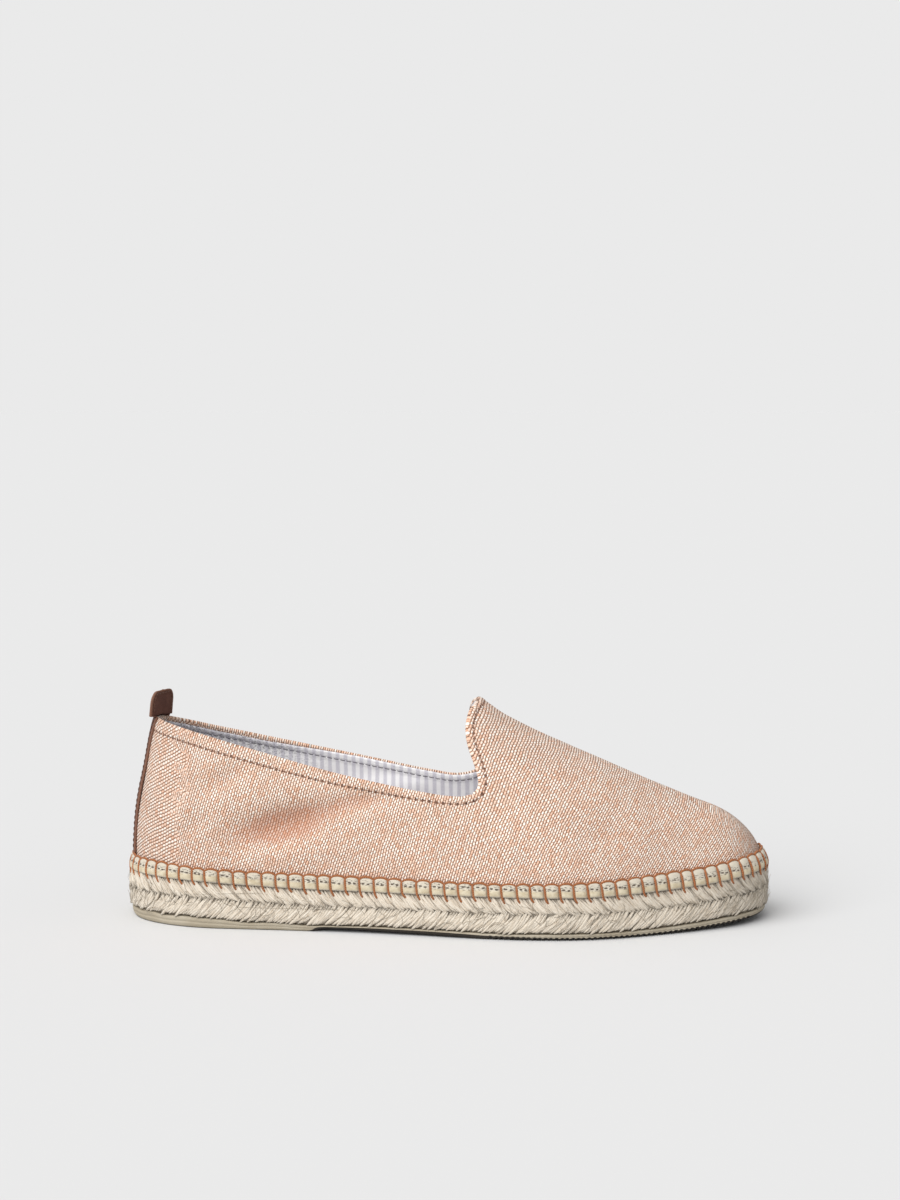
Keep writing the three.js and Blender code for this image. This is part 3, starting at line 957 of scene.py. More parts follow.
# the places (u, angle) of one side: a grid behind the throat's corner and one in front, up to the ridge
def openingGrids(side, hems, lowCount, highCount, backCount, frontCount):
    hems = np.array(hems)
    cornerStart = float(throatStart(np.array(cornerAngle), side))
    cornerRun = float(speed(loopPlace(cornerStart, side), cornerAngle, 1, 0))
    columns = np.linspace(0, cornerStart + hems[0] / cornerRun, backCount + 1)
    tops = collarAngle(columns, side)
    tops[-1] = cornerAngle
    climb = speed(loopPlace(columns, side), tops, 0, 1)
    if side > 0:
        climb[0] = speed(0.0, tops[0], 0, 1)
    hemAngles = tops - hems[::-1, None] / climb
    lows = np.linspace(0, 1, lowCount + 1)[:-1, None] * hemAngles[0]
    backAngles = np.vstack([lows, hemAngles])
    backT = np.broadcast_to(columns, backAngles.shape)
    cornerAngles = backAngles[:, -1]
    rise = quarterTurn - cornerAngles[-1]
    highs = cornerAngles[-1] + rise * np.linspace(0, 1, highCount + 1)[1:] ** 1.15
    angles = np.concatenate([cornerAngles, highs])
    angles[-1] = quarterTurn
    starts = throatStart(angles, side)
    starts[-1] = throatStart(angles[-1:], -1)[0]
    starts[:len(cornerAngles)] = cornerStart
    run = speed(loopPlace(starts, side), angles, 1, 0)
    run[-1] = speed(starts[-1], angles[-1], 1, 0)
    run[:len(cornerAngles)] = cornerRun
    hemT = starts[:, None] + hems / run[:, None]
    farT = hemT[:, -1:] + (1 - hemT[:, -1:]) * np.linspace(0, 1, frontCount + 1)[1:]
    frontT = np.hstack([hemT, farT])
    frontAngles = np.broadcast_to(angles[:, None], frontT.shape)
    patches = [(loopPlace(backT, side), backAngles), (loopPlace(frontT, side), frontAngles)]
    return patches, len(cornerAngles) - 1


# cloth coordinates in millimetres: along the shoe, up the wall, and the height
meridian = np.linspace(0, 1, 401)
meridianArc = runAlong(outlinePoint(meridian))
middleArc = np.interp(0.5, meridian, meridianArc)
heelStretch = np.where(meridian < 0.5, meridianArc - middleArc - outlinePoint(meridian)[:, 0], 0)
heelStretch = np.where(meridian < 0.5, heelStretch - np.interp(0.4999, meridian, heelStretch), 0)
toeStretch = meridianArc - outlinePoint(meridian)[:, 0]
toeStart = 0.86  # the place where the cloth begins to turn round the toe
toeStretch = np.where(meridian > toeStart, toeStretch - np.interp(toeStart, meridian, toeStretch), 0)


def clothPlace(u, angle):
    t = foldLoop(u)[0]
    x = lastPoint(t, angle)[..., 0] + np.interp(t, meridian, heelStretch)
    climb = 0 * x
    steps = 36
    for i in range(steps):
        low, high = lastPoint(t, angle * i / steps), lastPoint(t, angle * (i + 1) / steps)
        climb = climb + np.hypot(high[..., 1] - low[..., 1], high[..., 2] - low[..., 2])
    x = x + np.interp(t, meridian, toeStretch) * np.cos(angle)
    return np.stack([x, climb, lastPoint(t, angle)[..., 2]], -1)


def openingEdge():  # places along the whole edge: heel to ridge on the lateral side, back on the medial
    edges = []
    for side in (-1, 1):
        (back, front), corner = openingGrids(side, [0.0], 2, 90, 170, 2)
        u = np.concatenate([back[0][-1], front[0][corner + 1:, 0]])
        angle = np.concatenate([back[1][-1], front[1][corner + 1:, 0]])
        edges.append((u, angle))
    u = np.concatenate([edges[0][0], edges[1][0][::-1][1:-1]])
    angle = np.concatenate([edges[0][1], edges[1][1][::-1][1:-1]])
    return u, angle


edgeU, edgeAngle = openingEdge()
edgePoints = lastPoint(edgeU, edgeAngle)
edgeLoop = np.concatenate([edgePoints, edgePoints[:1]])
edgeRun = runAlong(edgeLoop)
denseRun = np.linspace(0, edgeRun[-1], 4001)[:-1]
edgeDense = alongPath(denseRun, edgeRun, edgeLoop)
edgeTree = pointTree(edgeDense)


def stitchDistance(points):  # the stitch line comes closer to the edge towards the throat
    look = upperLook
    near, far = look["collarStitch"]
    start = near + (far - near) * smoothStep(points[..., 1], -8.0, 8.0)
    share = smoothStep(points[..., 0], -95.0, 14.0)
    return start + (look["cornerStitch"] - start) * share


def hemPlace(points):  # run along the edge, distance from it, and offset from the stitch line
    found = [edgeTree.find(point) for point in points.reshape(-1, 3)]
    distance = np.array([hit[2] for hit in found]).reshape(points.shape[:-1])
    run = denseRun[[hit[1] for hit in found]].reshape(points.shape[:-1])
    return run, distance, distance - stitchDistance(points)


def wallShift(u, points, distance):  # hollows and unevenness of the whole wall, none near tape and edge
    side = foldLoop(u)[1]
    foot = soleLayers["tapeTop"](stationOf(u))
    shift = np.where(side < 0, creaseOut(points, -1), creaseOut(points, 1)) + unevenOut(points)
    middle = bell(points[..., 1] - ridge["y"](points[..., 0]), 9.0) * smoothStep(points[..., 0], 5, 20)
    hold = smoothStep(points[..., 2], foot + 1.0, foot + 12.0) * smoothStep(distance, -4.0, 9.0)
    return shift * (hold * (1 - middle))


def pastFold(distance, x):  # how far a place lies below the canvas that is folded over the edge
    look = upperLook
    return distance - (look["foldDepth"] - look["foldLoss"] * smoothStep(x, *look["foldRun"]))


# The faces of canvas and lining, in or out from the last: near the edge, at the stitch line and below it.
def canvasOut(distance, offset, x):
    look = upperLook
    fold = look["fold"] * smoothStep(offset, 1.1, -0.6) * smoothStep(distance, 0.0, 2.2)
    return fold - look["groove"] * bell(offset, 0.5)


def canvasIn(distance, offset, x):
    return -upperLook["wall"] + upperLook["canvasStep"] * smoothStep(pastFold(distance, x), 0.1, 0.5)


def liningOut(distance, offset, x):
    return -upperLook["liningFront"] + 0.15 * smoothStep(pastFold(distance, x), 0.1, 0.6)


def liningIn(distance, offset, x):
    look = upperLook
    fold = look["hemFold"] * smoothStep(offset, 1.5, 0.0)
    shown = smoothStep(pastFold(distance, x), -0.1, 0.6)
    back = look["liningBack"]
    return -back - (look["wall"] - back + fold) * shown + 0.35 * bell(offset, 0.5)


def wallShell(name, hems, counts, outs, crown):  # two faces of cloth, joined at the foot and round the rim
    form = Form("cloth", "hem")
    loops = {}
    for side in (-1, 1):
        patches, corner = openingGrids(side, hems, *counts)
        feet = []
        for number, (u, angle) in enumerate(patches):
            base = lastPoint(u, angle)
            run, distance, offset = hemPlace(base)
            cloth = clothPlace(u, angle)
            shift = wallShift(u, base, distance)
            # the third hem value is how deep the wall sinks into a hollow; the canvas paints shade from it
            hem = np.stack([run, offset, smoothStep(-shift, 0.3, 3.2)], -1)
            normal = lastNormal(u, angle)
            for layer, out in enumerate(outs):
                points = base + (out(distance, offset, base[..., 0]) + shift)[..., None] * normal
                form.surface(points, cloth=cloth, hem=hem)
                rows = np.s_[-1] if number == 0 else np.s_[corner:, 0]
                loops.setdefault((layer, side), []).append([points[rows], cloth[rows], hem[rows]])
                feet.append([points[0], cloth[0], hem[0]])
        for k in (0, 2):
            points, cloth, hem = [np.stack(pair) for pair in zip(feet[k], feet[k + 1])]
            form.surface(points, cloth=cloth, hem=hem)
    rims = []
    for layer in (0, 1):
        halves = []
        for side in (-1, 1):
            halves.append([np.concatenate([back, front[1:]]) for back, front in zip(*loops[(layer, side)])])
        rims.append([np.concatenate([there, back[::-1][1:-1]]) for there, back in zip(*halves)])
    (outer, cloth, hem), inner = rims[0], rims[1][0]
    tangent = unit(np.roll(outer, -1, 0) - np.roll(outer, 1, 0))
    across = outer - inner
    away = unit(np.cross(across, tangent))
    away *= np.sign(away[0, 2])
    rings = []
    for turn in np.linspace(0, math.pi, 8):
        middle = (outer + inner) / 2
        rings.append(middle + across / 2 * math.cos(turn) + away * crown * math.sin(turn))
    band = np.stack(rings)
    band = np.concatenate([band, band[:, :1]], 1)
    cloth, hem = [np.broadcast_to(np.concatenate([kept, kept[:1]]), band.shape) for kept in (cloth, hem)]
    form.surface(band, cloth=cloth, hem=hem)
    return form.mesh(name)


print("making the upper")
look = upperLook
canvasMesh = wallShell("canvasUpper", look["hemRows"], look["canvasCounts"], (canvasOut, canvasIn), 0.9)
finishPiece(addObject("canvasUpper", canvasMesh, canvas), "canvas", "upper")
liningMesh = wallShell("stripedLining", look["liningRows"], look["liningCounts"], (liningOut, liningIn), 0.3)
finishPiece(addObject("stripedLining", liningMesh, lining), "lining_cotton")


# the tape and its blanket stitches, placed by the number of the stitch
stitchLook = {
    "pitch": 6.3, "uneven": 0.06, "threadRadius": 0.5, "threadSides": 8,
    "archRise": 0.4, "archDip": -0.95, "intoJute": 2.6, "slant": 0.1, "sink": 0.13,
    "pillow": 0.35, "notch": 0.75, "dip": 1.15, "columns": 10,
    "tapeRim": ((0.97, 0.32), (1.03, 0.75), (1.02, 1.25), (0.95, 1.75)),  # share of the height, out
    "tapeFace": (1.0, 0.82, 0.62, 0.42, 0.22, 0.08),  # shares of the height, downwards
    "tapeUnder": 2.9,
}
outerU = np.linspace(0, 2, 4001)
outerArc = runAlong(outlinePoint(outerU))
stitchCount = round(outerArc[-1] / stitchLook["pitch"])
stitchUneven = draw.uniform(-1, 1, stitchCount) * stitchLook["uneven"]
stitchUneven[0] = 0
stitchArc = np.append(np.arange(stitchCount) + stitchUneven, stitchCount) / stitchCount * outerArc[-1]


def phaseU(phase):  # the place of a stitch number, with parts between the stitches
    arc = np.interp(np.mod(phase, stitchCount), np.arange(stitchCount + 1), stitchArc)
    return np.interp(arc, outerArc, outerU)


def onTape(u, share, out):  # beside the foot of the upper; share 0 at the seat, 1 at the top of the tape
    seat = seatHeight(u)
    height = seat + (soleLayers["tapeTop"](stationOf(u)) - seat) * share
    return offsetPoint(u, angleAtHeight(u, height), out)


def beside(u, inset, height):  # level with the outline, moved in, at a height
    return np.concatenate([insetPoint(u, inset), np.asarray(height + 0 * u)[..., None]], -1)


def tapeSide(u, share):  # the outer face of the tape, from its foot at share 0 to its rounded top at 1
    foot = beside(u, last["tapeInset"], seatHeight(u))
    low = beside(u, last["tapeInset"], seatHeight(u) + 2)
    high = onTape(u, 0.86, last["gap"] + last["tapeThickness"])
    lowPart = np.clip(np.asarray(share) / 0.35, 0, 1)[..., None]
    highPart = np.clip((np.asarray(share) - 0.35) / 0.65, 0, 1)[..., None]
    return foot + (low - foot) * lowPart + (high - low) * highPart


def tapeForm():  # a quilted band: pillows between the stitches, notches under them
    look = stitchLook
    phase = np.arange(stitchCount * look["columns"] + 1) / look["columns"]
    u = phaseU(phase)
    between = 1 - np.abs(2 * (phase % 1) - 1) ** 3.2  # 1 on a pillow, 0 at a stitch
    uneven = 0.12 * np.sin(phase * 2.1) + 0.1 * np.sin(phase * 0.77 + 2)
    normal = sideways(u)
    drop = look["dip"] * (1 - between)
    rows = [beside(u, look["tapeUnder"], seatHeight(u)), onTape(u, 0.35, 0.3), onTape(u, 0.7, 0.3)]
    for share, out in look["tapeRim"]:
        row = onTape(u, share, out - look["notch"] * 0.6 * (1 - between) * (out > 1))
        row[:, 2] += (uneven - drop) * (share > 0.9)
        rows.append(row)
    for share in look["tapeFace"]:
        bulge = look["pillow"] * between * math.sin(math.pi * min(share + 0.1, 1))
        bulge = bulge - look["notch"] * (1 - between)
        bulge = bulge * min(1, share * 5 + 0.4)
        rows.append(tapeSide(u, share) + bulge[:, None] * normal)
    rows.append(beside(u, last["tapeInset"] + 0.25, seatHeight(u)))
    rows.append(rows[0])
    points = np.stack(rows)
    values = np.stack([np.broadcast_to(phase, points.shape[:2]), points[..., 2] - seatHeight(u),
                       np.broadcast_to(np.interp(u, outerU, outerArc), points.shape[:2])], -1)
    form = Form("tape")
    form.surface(points, tape=values)
    return form.mesh("blanketTape")


def stitchLines():  # each thread arches along the tape's top, runs down its face and enters the jute
    look = stitchLook
    lines = []
    wander = draw.uniform(-1, 1, (stitchCount, 3))
    for k in range(stitchCount):
        share = np.linspace(0, 1, 9)
        arch = phaseU(k - 1 + share)
        top = onTape(arch, 1.0, 0.95 + 0.25 * np.sin(math.pi * share))
        top[:, 2] += look["archDip"] + (look["archRise"] - look["archDip"]) * np.sin(math.pi * share) ** 0.6
        top[:, 2] += 0.12 * wander[k, 0] * np.sin(math.pi * share)
        down = np.array([1.0, 0.8, 0.55, 0.3, 0.05])
        slide = look["slant"] * (1 - down) + 0.03 * wander[k, 1]
        uprightU = phaseU(k + slide)
        upright = tapeSide(uprightU, down) - look["sink"] * sideways(uprightU)
        upright[0] += (top[-1] - upright[0]) * 0.4
        footU = phaseU(k + look["slant"] + np.array([0.05, 0.16, 0.26]))
        depth = look["intoJute"] * (1 + 0.25 * wander[k, 2])
        footHeight = seatHeight(footU) - np.array([0.35, 0.7, 1.0]) * depth
        foot = beside(footU, np.array([0.75, 0.85, 1.9]), footHeight)
        lines.append(np.concatenate([top, upright, foot]))
    return lines


print("making the tape and its blanket stitches")
finishPiece(addObject("blanketTape", tapeForm(), cottonTape), "cotton_tape", "welt_tape")
finishPiece(growCords("blanketThread", stitchLines(), stitchLook, threads["rustThread"]), "rust_thread")


# a core painted dark as the shade between the strands, leaning strands in two rows, and loose fibres; core
# rings are (inset, share of the height)
juteBuild = {
    "core": [(3.2, 0.0), (1.9, 0.12), (1.5, 0.3), (1.75, 0.5), (1.5, 0.75), (2.2, 1.0)], "coreColumns": 360,
    "strandLength": 11.4, "strandWidth": 1.9, "strandThickness": 1.5, "bend": 0.022,
    "patterns": 8, "bundles": 5, "spread": (0.158, 0.2), "lean": 47.0, "turn": 0.07, "seed": 5,
    "upperHeight": 0.76, "lowerHeight": 0.28, "inset": 1.05, "usualHeight": 15.6,
    "fibres": 600, "fibreLength": (3.0, 9.0), "threadRadius": 0.08, "threadSides": 3,
}


def juteLevel(u, share):
    bottom = soleLayers["rubberTop"](stationOf(u)) + last["gap"]
    return bottom + (soleLayers["juteTop"](stationOf(u)) - bottom) * share


def coreForm():  # rings of points, closed below and above by strips, with leaning fibres
    form = Form("strand", "tone")
    across = juteBuild["coreColumns"]
    u = np.linspace(0, 2, across * 2 + 1)
    rows = np.stack([beside(u, inset, juteLevel(u, share)) for inset, share in juteBuild["core"]])
    run = np.broadcast_to(np.interp(u, outerU, outerArc), rows.shape[:2])
    # painted shade: the core's depth value of 0.55 makes the jute darker there, as the shade between strands
    strand = np.stack([run + rows[..., 2], run - rows[..., 2], 0.55 + 0 * run], -1) * [0.7, 0.7, 1]
    form.surface(rows, strand=strand, tone=np.zeros(3))
    for row in (0, -1):
        strip, values = [
            np.stack([kept[row][:across + 1], kept[row][::-1][:across + 1]]) for kept in (rows, strand)]
        form.surface(strip, strand=values, tone=np.zeros(3))
    return form.mesh("juteCore")


def strandMesh(name):  # a slim bundle of fibres, pointed at both ends, its length along X
    look = juteBuild
    along = np.sin(np.linspace(-math.pi / 2, math.pi / 2, 9))
    turns = np.linspace(0, 2 * math.pi, 7)
    luck = draw.uniform(-1, 1, 4)
    girth = np.maximum(1 - np.abs(along) ** 3, 0)[:, None] ** 0.7 * (1 + 0.15 * luck[0] * along[:, None])
    x = np.broadcast_to(along[:, None] * look["strandLength"] / 2, (9, 7))
    sway = 0.25 * luck[1] * np.sin(along[:, None] * 3 + luck[2] * 3)
    y = look["strandWidth"] / 2 * np.cos(turns) * girth + sway + look["bend"] * x ** 2
    z = look["strandThickness"] / 2 * np.sin(turns) * girth + 0.15 * luck[3] * np.sin(along[:, None] * 4)
    # painted shade: the inward side of each strand and its tucked ends get a depth that darkens them
    depth = np.clip(0.75 - z / look["strandThickness"] * 2, 0, 1) * 0.8
    depth = np.maximum(depth, np.abs(along[:, None]) ** 6 * 0.7)
    arc = turns[None, :] * look["strandWidth"] / 2 + 0 * y
    form = Form("strand")
    form.surface(np.stack([x, y, z], -1), strand=np.stack([x, arc, depth], -1))
    return form.mesh(name)


def strandPoints(row):
    look = juteBuild
    upper = row == "upper"
    number = np.arange(stitchCount * look["bundles"])
    luck = draw.uniform(-1, 1, (number.size, 5))
    place = number % look["bundles"] - (look["bundles"] - 1) / 2
    spread = look["spread"][0 if upper else 1]
    phase = number // look["bundles"] + (0.66 if upper else 0.3) + place * spread + 0.03 * luck[:, 0]
    u = phaseU(phase)
    share = look["upperHeight"] if upper else look["lowerHeight"]
    loose = 1.0 if upper else 1.5  # the lower row is less even
    height = juteLevel(u, share) + 0.35 * loose * luck[:, 1]
    lobe = 0.15 * place ** 2 if upper else 0.12 * np.abs(luck[:, 4])
    points = beside(u, look["inset"] + lobe + 0.12 * luck[:, 2], height)
    facing = sideways(u, 0.08 if upper else -0.04)
    tangent = np.stack([-facing[:, 1], facing[:, 0], 0 * u], -1)
    lean = math.radians(look["lean"]) * (1 + 0.06 * loose * luck[:, 3:4])
    along = tangent * np.cos(lean) + np.array([0, 0, -1.0 if upper else 1.0]) * np.sin(lean)
    tall = (juteLevel(u, 1) - juteLevel(u, 0)) / look["usualHeight"]
    long = tall * ((0.93 if upper else 1.05) + 0.08 * luck[:, 4])
    size = np.stack([long, 1 + 0.1 * luck[:, 0], 1 + 0 * u], -1)
    return pointsMesh(row + "Strands", points, facing, along, size)


def fibreLines():  # loose hairs that lie on the strands and leave them a little
    look = juteBuild
    lines = []
    for _ in range(look["fibres"]):
        u = draw.uniform(0, 2)
        share = draw.beta(1.1, 1.6)
        upper = share > 0.52
        length = draw.uniform(*look["fibreLength"])
        lean = math.radians(draw.normal(-46 if upper else 44, 18))
        lift, curl = draw.uniform(0.1, 1.5) ** 2 * 0.6, draw.normal(0, 0.5)
        steps = np.linspace(0, 1, 6)
        heading = lean + curl * (steps - 0.5)
        run = length * steps
        way = np.gradient(np.interp(np.array([u, u + 0.01]), outerU, outerArc)).mean() / 0.01
        places = u + run * np.cos(heading) / way
        heights = juteLevel(u, share) + run * np.sin(heading)
        heights = np.clip(heights, juteLevel(places, 0) - 0.8, juteLevel(places, 1) - 0.4)
        lines.append(beside(np.mod(places, 2), 0.35 - lift * steps ** 2, heights))
    return lines


print("making the jute sole")
finishPiece(addObject("juteCore", coreForm(), jute), "jute_braid", "jute_sole")
leaves = collect("leaves", [strandMesh(f"leaf{i}") for i in range(juteBuild["patterns"])])
strandValues = {"Patterns": leaves, "Turn": juteBuild["turn"], "Seed": juteBuild["seed"], "Material": jute}
for row in ("upper", "lower"):
    finishPiece(grow(row + "Strands", strandPoints(row), repeats, strandValues), "jute_braid")
finishPiece(growCords("looseFibres", fibreLines(), juteBuild, threads["looseJute"]), "jute_braid")


rubberBuild = {  # the edge from floor to jute as (inset, share of the height); zones along X
    "edge": [(3.4, 0.0), (2.9, 0.04), (2.3, 0.18), (1.9, 0.35), (1.7, 0.5),
             (2.0, 0.56), (1.65, 0.62), (1.5, 0.8), (1.55, 0.95), (1.95, 1.0)],
    "columns": 640, "across": 20, "ribPitch": 2.4, "ribDepth": 0.7, "lipWave": 0.4,
    "heelZone": (-135.0, -62.0), "foreZone": (18.0, 138.0),
    "breast": (0.3, 0.317), "paintedShadowLine": (0.05, 0.7, 0.38),  # painted shadow: heel, waist and front, as shares of the height
}


def treadDepth(x, zone):  # cross ribs, fading out at the ends of their zone
    look = rubberBuild
    groove = smoothStep(np.abs((x / look["ribPitch"]) % 1 - 0.5), 0.34, 0.2)
    start, end = zone
    return look["ribDepth"] * groove * smoothStep(x, start, start + 2) * smoothStep(x, end, end - 2)


def rubberForm():  # a ring for the edge, a ribbed underside and a plain top
    look = rubberBuild
    half = look["columns"] + 1
    places = np.concatenate([np.linspace(0, 1, half), np.linspace(1, 2, half)[1:]])
    station = stationOf(places)
    x = (station - 0.5) * last["length"]
    start, end = look["breast"]
    rise = np.where(station < 0.5, np.clip((station - start) / (end - start), 0, 1), 1)
    bottom = floorHeight(station) * rise + treadDepth(x, look["foreZone"])
    wave = 0.5 * np.sin(places * 61) + 0.5 * np.sin(places * 97 + 1)
    lip = look["lipWave"] * wave * smoothStep(station, 0.33, 0.26)
    top = soleLayers["rubberTop"](station) + lip
    rows = np.stack([beside(places, inset, bottom * (1 - share) + top * share)
                     for inset, share in look["edge"]])
    shares = np.broadcast_to(np.array([share for _, share in look["edge"]])[:, None], rows.shape[:2])
    # how high the painted shadow climbs the edge along the sole
    heelLine, waistLine, foreLine = look["paintedShadowLine"]
    line = heelLine + (waistLine - heelLine) * smoothStep(station, 0.29, 0.31)
    line = np.broadcast_to(line + (foreLine - waistLine) * smoothStep(station, 0.5, 0.72), rows.shape[:2])
    form = Form("side")
    form.surface(rows, side=np.stack([shares, line, 0 * line], -1))
    across = np.linspace(0, 1, look["across"] + 1)[:, None]
    under = rows[0][:half] + (rows[0][::-1][:half] - rows[0][:half]) * across[..., None]
    under[..., 2] += treadDepth(x[:half], look["heelZone"]) * np.minimum(across * (1 - across) * 14, 1)
    form.surface(under, side=np.array([0.0, 0.1, 0.0]))
    above = np.stack([rows[-1][:half], rows[-1][::-1][:half]])
    form.surface(above, side=np.array([1.0, 0.1, 0.0]))
    return form.mesh("rubberSole")


print("making the rubber")
finishPiece(addObject("rubberSole", rubberForm(), rubber), "rubber_outsole", "outsole")


tabBuild = {
    "stripHalfWidth": (7.5, 8.3), "stripShift": 1.8, "stripGap": 0.15, "thickness": 1.1, "crown": 0.35,
    "tabHalfWidth": 9.4, "tabHeight": 11.6, "tabCorner": 5.4,
    "twist": 20.0, "forward": 2.2, "tip": 1.2, "turnHeight": 0.6, "dip": 1.0, "dipEnd": 7.0,
    "stripRows": 60, "tabRows": 24, "columns": 24,
    "stitchIn": 1.8, "rowsAbove": 6, "stitchPitch": 2.6, "stitchLength": 1.8, "stitchSink": 0.3,
    "threadRadius": 0.24, "threadSides": 6,
}


def heelPoint(y, height, out):  # on the back of the heel, by its distance to the side and its height
    y, height = np.broadcast_arrays(np.asarray(y, float), np.asarray(height, float))
    side = np.where(y < 0, -1.0, 1.0)

    def place(t):
        return np.where(side < 0, t, 2 - t)

    def isBelow(t):
        return np.abs(lastPoint(place(t), angleAtHeight(place(t), height))[..., 1]) < np.abs(y)

    t = np.where(y == 0, 0, bisect(0 * y, 0 * y + 0.3, isBelow, 24))
    return offsetPoint(place(t), angleAtHeight(place(t), height), out)


def tabGrid(out):  # one face of the leather: up the back seam, then on as the free tab
    look = tabBuild
    rim = float(collar["lateral"](-last["length"] / 2))
    foot = float(soleLayers["tapeTop"](0.0)) + last["gap"]
    across = np.linspace(-1, 1, look["columns"] + 1)
    heights = np.linspace(foot, rim, look["stripRows"] + 1)
    low, high = look["stripHalfWidth"]
    halfWidths = np.linspace(low, high, look["stripRows"] + 1)[:, None]
    shift = look["stripShift"] * smoothStep(heights, foot, rim)
    rows = heelPoint(across * halfWidths + shift[:, None], heights[:, None], out)
    edge = rows[-1]
    middle = edge[look["columns"] // 2]
    rise = look["tabHeight"] * (1 - np.cos(np.linspace(0, math.pi, look["tabRows"] + 1)[1:])) / 2
    turn = smoothStep(rise, 0, look["turnHeight"])
    corner = np.clip((rise - look["tabHeight"] + look["tabCorner"]) / look["tabCorner"], 0, 1)
    width = high + (look["tabHalfWidth"] - high) * turn
    width = width - look["tabCorner"] * (1 - np.sqrt(1 - corner ** 2)) * 0.85
    twist = math.radians(look["twist"]) * turn
    bend = (edge[:, 0] - middle[0])[None, :] * (1 - turn[:, None])
    tip = look["tip"] * rise / look["tabHeight"]
    ahead = (look["forward"] * turn + tip)[:, None]
    x = middle[0] + bend + ahead + across * (width * np.sin(twist))[:, None]
    y = across * (width * np.cos(twist))[:, None] + look["stripShift"] * (1 - turn[:, None])
    dip = look["dip"] * turn * smoothStep(rise, look["dipEnd"], look["turnHeight"])
    z = (rim + rise)[:, None] - dip[:, None] * np.maximum(across, 0)
    return np.concatenate([rows, np.stack([x, y, z], -1)])


def roundGrid(grid):  # the places round the edge of a grid, in order and closed
    return np.concatenate([grid[0, :-1], grid[:-1, -1], grid[-1, ::-1][:-1], grid[::-1, 0]])


def leatherForm():  # two faces and a rounded cut edge
    look = tabBuild
    inner, outer = tabGrid(look["stripGap"]), tabGrid(look["stripGap"] + look["thickness"])
    middle = (inner + outer) / 2
    rounding = roundGrid(middle)
    edges = pointTree(rounding)
    near = np.array([edges.find(point)[2] for point in middle.reshape(-1, 3)]).reshape(middle.shape[:2])
    form = Form("hide")
    for grid, inside in ((inner, 1.0), (outer, 0.0)):
        form.surface(grid, hide=np.stack([near, grid[..., 2], inside + 0 * near], -1))
    within = np.pad(middle[1:-1, 1:-1], ((1, 1), (1, 1), (0, 0)), "edge")
    away = unit(rounding - roundGrid(within))
    halfway = (roundGrid(outer) - roundGrid(inner)) / 2
    rings = []
    for turn in np.linspace(0, math.pi, 6):
        rings.append(rounding - halfway * math.cos(turn) + away * look["crown"] * math.sin(turn))
    values = np.stack([0 * rounding[:, 0], rounding[:, 2], 0.5 + 0 * rounding[:, 0]], -1)
    form.surface(np.stack(rings), hide=np.broadcast_to(values, (6, *values.shape)))
    return form.mesh("pullTab"), inner, outer


def stitchRow(points, facing, look):  # short stitches along a line of points on a surface
    run = runAlong(points)
    pitch, sink = look["stitchPitch"], -look["stitchSink"]
    low, high = look["threadRadius"] * 0.2, look["threadRadius"] * 0.8
    rise = np.array([sink, low, high, high, low, sink])
    lines = []
    for k in range(int(run[-1] / pitch)):
        at = (k + 0.5) * pitch + np.array([-0.5, -0.4, -0.2, 0.2, 0.4, 0.5]) * look["stitchLength"]
        centre = alongPath(at, run, points)
        normal = alongPath(at, run, facing)
        lines.append(centre + rise[:, None] * normal)
    return lines


def leatherStitches(inner, outer):
    look = tabBuild
    lines = []
    for grid, other in ((outer, inner), (inner, outer)):
        first = 0 if grid is outer else look["stripRows"] + 4
        inset = round(look["stitchIn"] / look["tabHalfWidth"] / 2 * look["columns"])
        top = grid.shape[0] - look["rowsAbove"]
        path = [(r, inset) for r in range(first + 2, top)]
        path += [(top, c) for c in range(inset + 1, look["columns"] - inset)]
        path += [(r, look["columns"] - inset) for r in range(top, first + 1, -1)]
        points = np.array([grid[r, c] for r, c in path])
        facing = unit(points - np.array([other[r, c] for r, c in path]))
        lines += stitchRow(points, facing, look)
    return lines


print("making the pull tab")
tabMesh, tabInner, tabOuter = leatherForm()
finishPiece(addObject("pullTab", tabMesh, brownLeather), "brown_leather", "heel_tab")
tabLines = leatherStitches(tabInner, tabOuter)
finishPiece(growCords("tabStitches", tabLines, tabBuild, threads["leatherThread"]), "rust_thread")


sockBuild = {
    "inset": 6.0, "crown": 0.9, "columns": 160, "across": 24,
    "edge": [(0.25, 0.0), (0.0, 0.3), (0.0, 2.5), (0.15, 2.85), (0.5, 3.0)],  # inset, height
}


def sockForm():  # a flat board with a low crown
    look = sockBuild
    t = np.linspace(0, 1, look["columns"] + 1)
    form = Form("cloth", "hem")
    far = np.array([0.0, 9.0, 0.0])  # a hem offset well away from any stitch line
    u = np.linspace(0, 2, look["columns"] * 2 + 1)
    rows = np.stack([beside(u, look["inset"] + inset, seatHeight(u) + rise) for inset, rise in look["edge"]])
    form.surface(rows, cloth=rows, hem=far)
    half = look["columns"] + 1
    shares = np.linspace(0, 1, look["across"] + 1)[:, None, None]
    for row, crown in ((rows[0], 0), (rows[-1], look["crown"])):
        lateral, medial = row[:half], row[::-1][:half]
        sheet = lateral + (medial - lateral) * shares
        rise = np.sin(math.pi * shares[..., 0]) ** 0.7 * np.sin(math.pi * t[None, :]) ** 0.4
        sheet[..., 2] += crown * rise
        form.surface(sheet, cloth=sheet, hem=far)
    return form.mesh("sockInsole")


print("making the sock")
finishPiece(addObject("sockInsole", sockForm(), lining), "lining_cotton", "insole")


hemBuild = {
    "stitchPitch": 3.0, "stitchLength": 2.3, "stitchSink": 0.35, "threadRadius": 0.2, "threadSides": 6,
    "reach": 4,
}


def faceTree(mesh):
    return BVHTree.FromPolygons([v.co[:] for v in mesh.vertices], [f.vertices[:] for f in mesh.polygons])


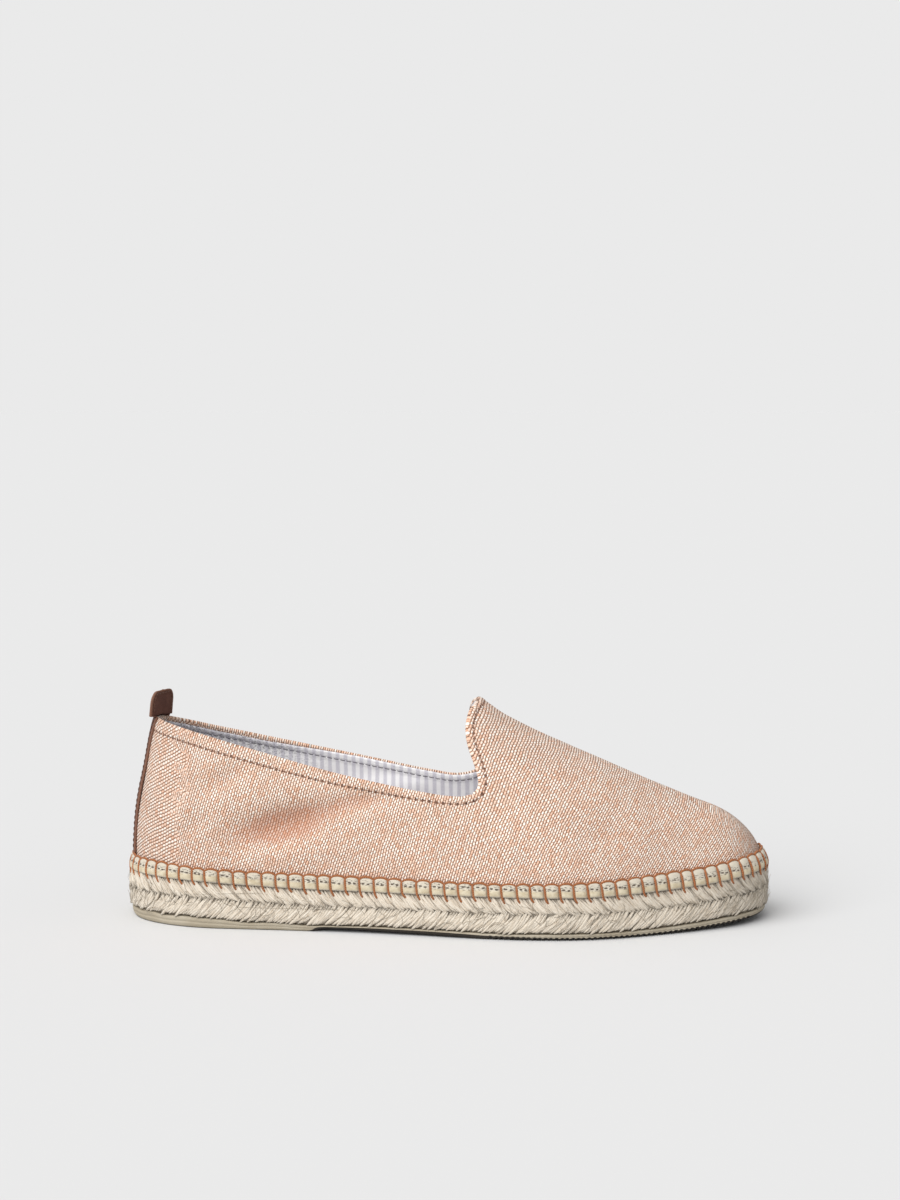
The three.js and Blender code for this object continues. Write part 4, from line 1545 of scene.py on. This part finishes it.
def hemPath(tree, lift):  # the stitch line on a mesh, from the edge inwards
    points, facing = [], []
    tangent = unit(np.roll(edgePoints, -1, 0) - np.roll(edgePoints, 1, 0))
    normal = lastNormal(edgeU, edgeAngle)
    inward = np.cross(normal, tangent)
    inward *= -np.sign(inward[0, 2])
    distance = stitchDistance(edgePoints)[:, None]
    for point, out in zip(edgePoints + inward * distance, normal):
        start = Vector((point + out * lift * hemBuild["reach"]) * mm)
        hit = tree.ray_cast(start, Vector(out * -lift))
        if hit[0] is None:
            hit = tree.find_nearest(start)
        points.append(np.array(hit[0]) / mm)
        facing.append(out * lift)
    return np.array(points), np.array(facing)


print("making the hem stitches")
for name, mesh, lift, thread in (("collarStitches", canvasMesh, 1.0, "hemThread"),
                                 ("liningStitches", liningMesh, -1.0, "liningThread")):
    lines = stitchRow(*hemPath(faceTree(mesh), lift), hemBuild)
    finishPiece(growCords(name, lines, hemBuild, threads[thread]), "rust_thread")


stageLook = {
    "cameraAt": (0.04362, -0.99905, 0.23087),
    "cameraAim": (0.00102, 0.0, 0.14309),
    "lens": 67.199,
    "backdrop": 0.8227,  # what the camera sees behind the floor
    "fill": 0.5,  # what lights the shoe from around
    "keyFrom": (-0.5, -0.75, 0.85),
    "keyStrength": 3.1,
    "keyWidth": 62.0,
    "floor": 0.70,
    "floorHalf": 60.0,
}


def makeStage():
    look = stageLook
    scene = bpy.context.scene
    scene.view_settings.view_transform = "Standard"
    camera = bpy.data.objects.new("camera", bpy.data.cameras.new("camera"))
    camera.data.lens = look["lens"]
    camera.data.sensor_width = 36
    camera.data.clip_end = 200
    camera.location = look["cameraAt"]
    aim = Vector(look["cameraAim"]) - Vector(look["cameraAt"])
    camera.rotation_euler = aim.to_track_quat("-Z", "Y").to_euler()
    scene.collection.objects.link(camera)
    scene.camera = camera
    key = bpy.data.objects.new("key", bpy.data.lights.new("key", "SUN"))
    key.data.energy = look["keyStrength"]
    key.data.angle = math.radians(look["keyWidth"])
    key.rotation_euler = Vector(look["keyFrom"]).to_track_quat("Z", "Y").to_euler()
    scene.collection.objects.link(key)
    world = bpy.data.worlds.new("studio")
    world.use_nodes = True
    seen = Wire(world.node_tree, None).node("ShaderNodeLightPath")
    shown = seen.mix(grey(look["fill"]), grey(look["backdrop"]))
    world.node_tree.links.new(shown.socket, world.node_tree.nodes["Background"].inputs["Color"])
    scene.world = world
    half = look["floorHalf"]
    corners = [(-half, -half, 0), (half, -half, 0), (half, half, 0), (-half, half, 0)]
    floorMesh = bpy.data.meshes.new("floor")
    floorMesh.from_pydata(corners, [], [(0, 1, 2, 3)])
    material, wire = startMaterial("floor")
    showSurface(wire, wire.node("ShaderNodeBsdfDiffuse", None, {"Color": grey(look["floor"])}))
    addObject("floor", floorMesh, material)


makeStage()
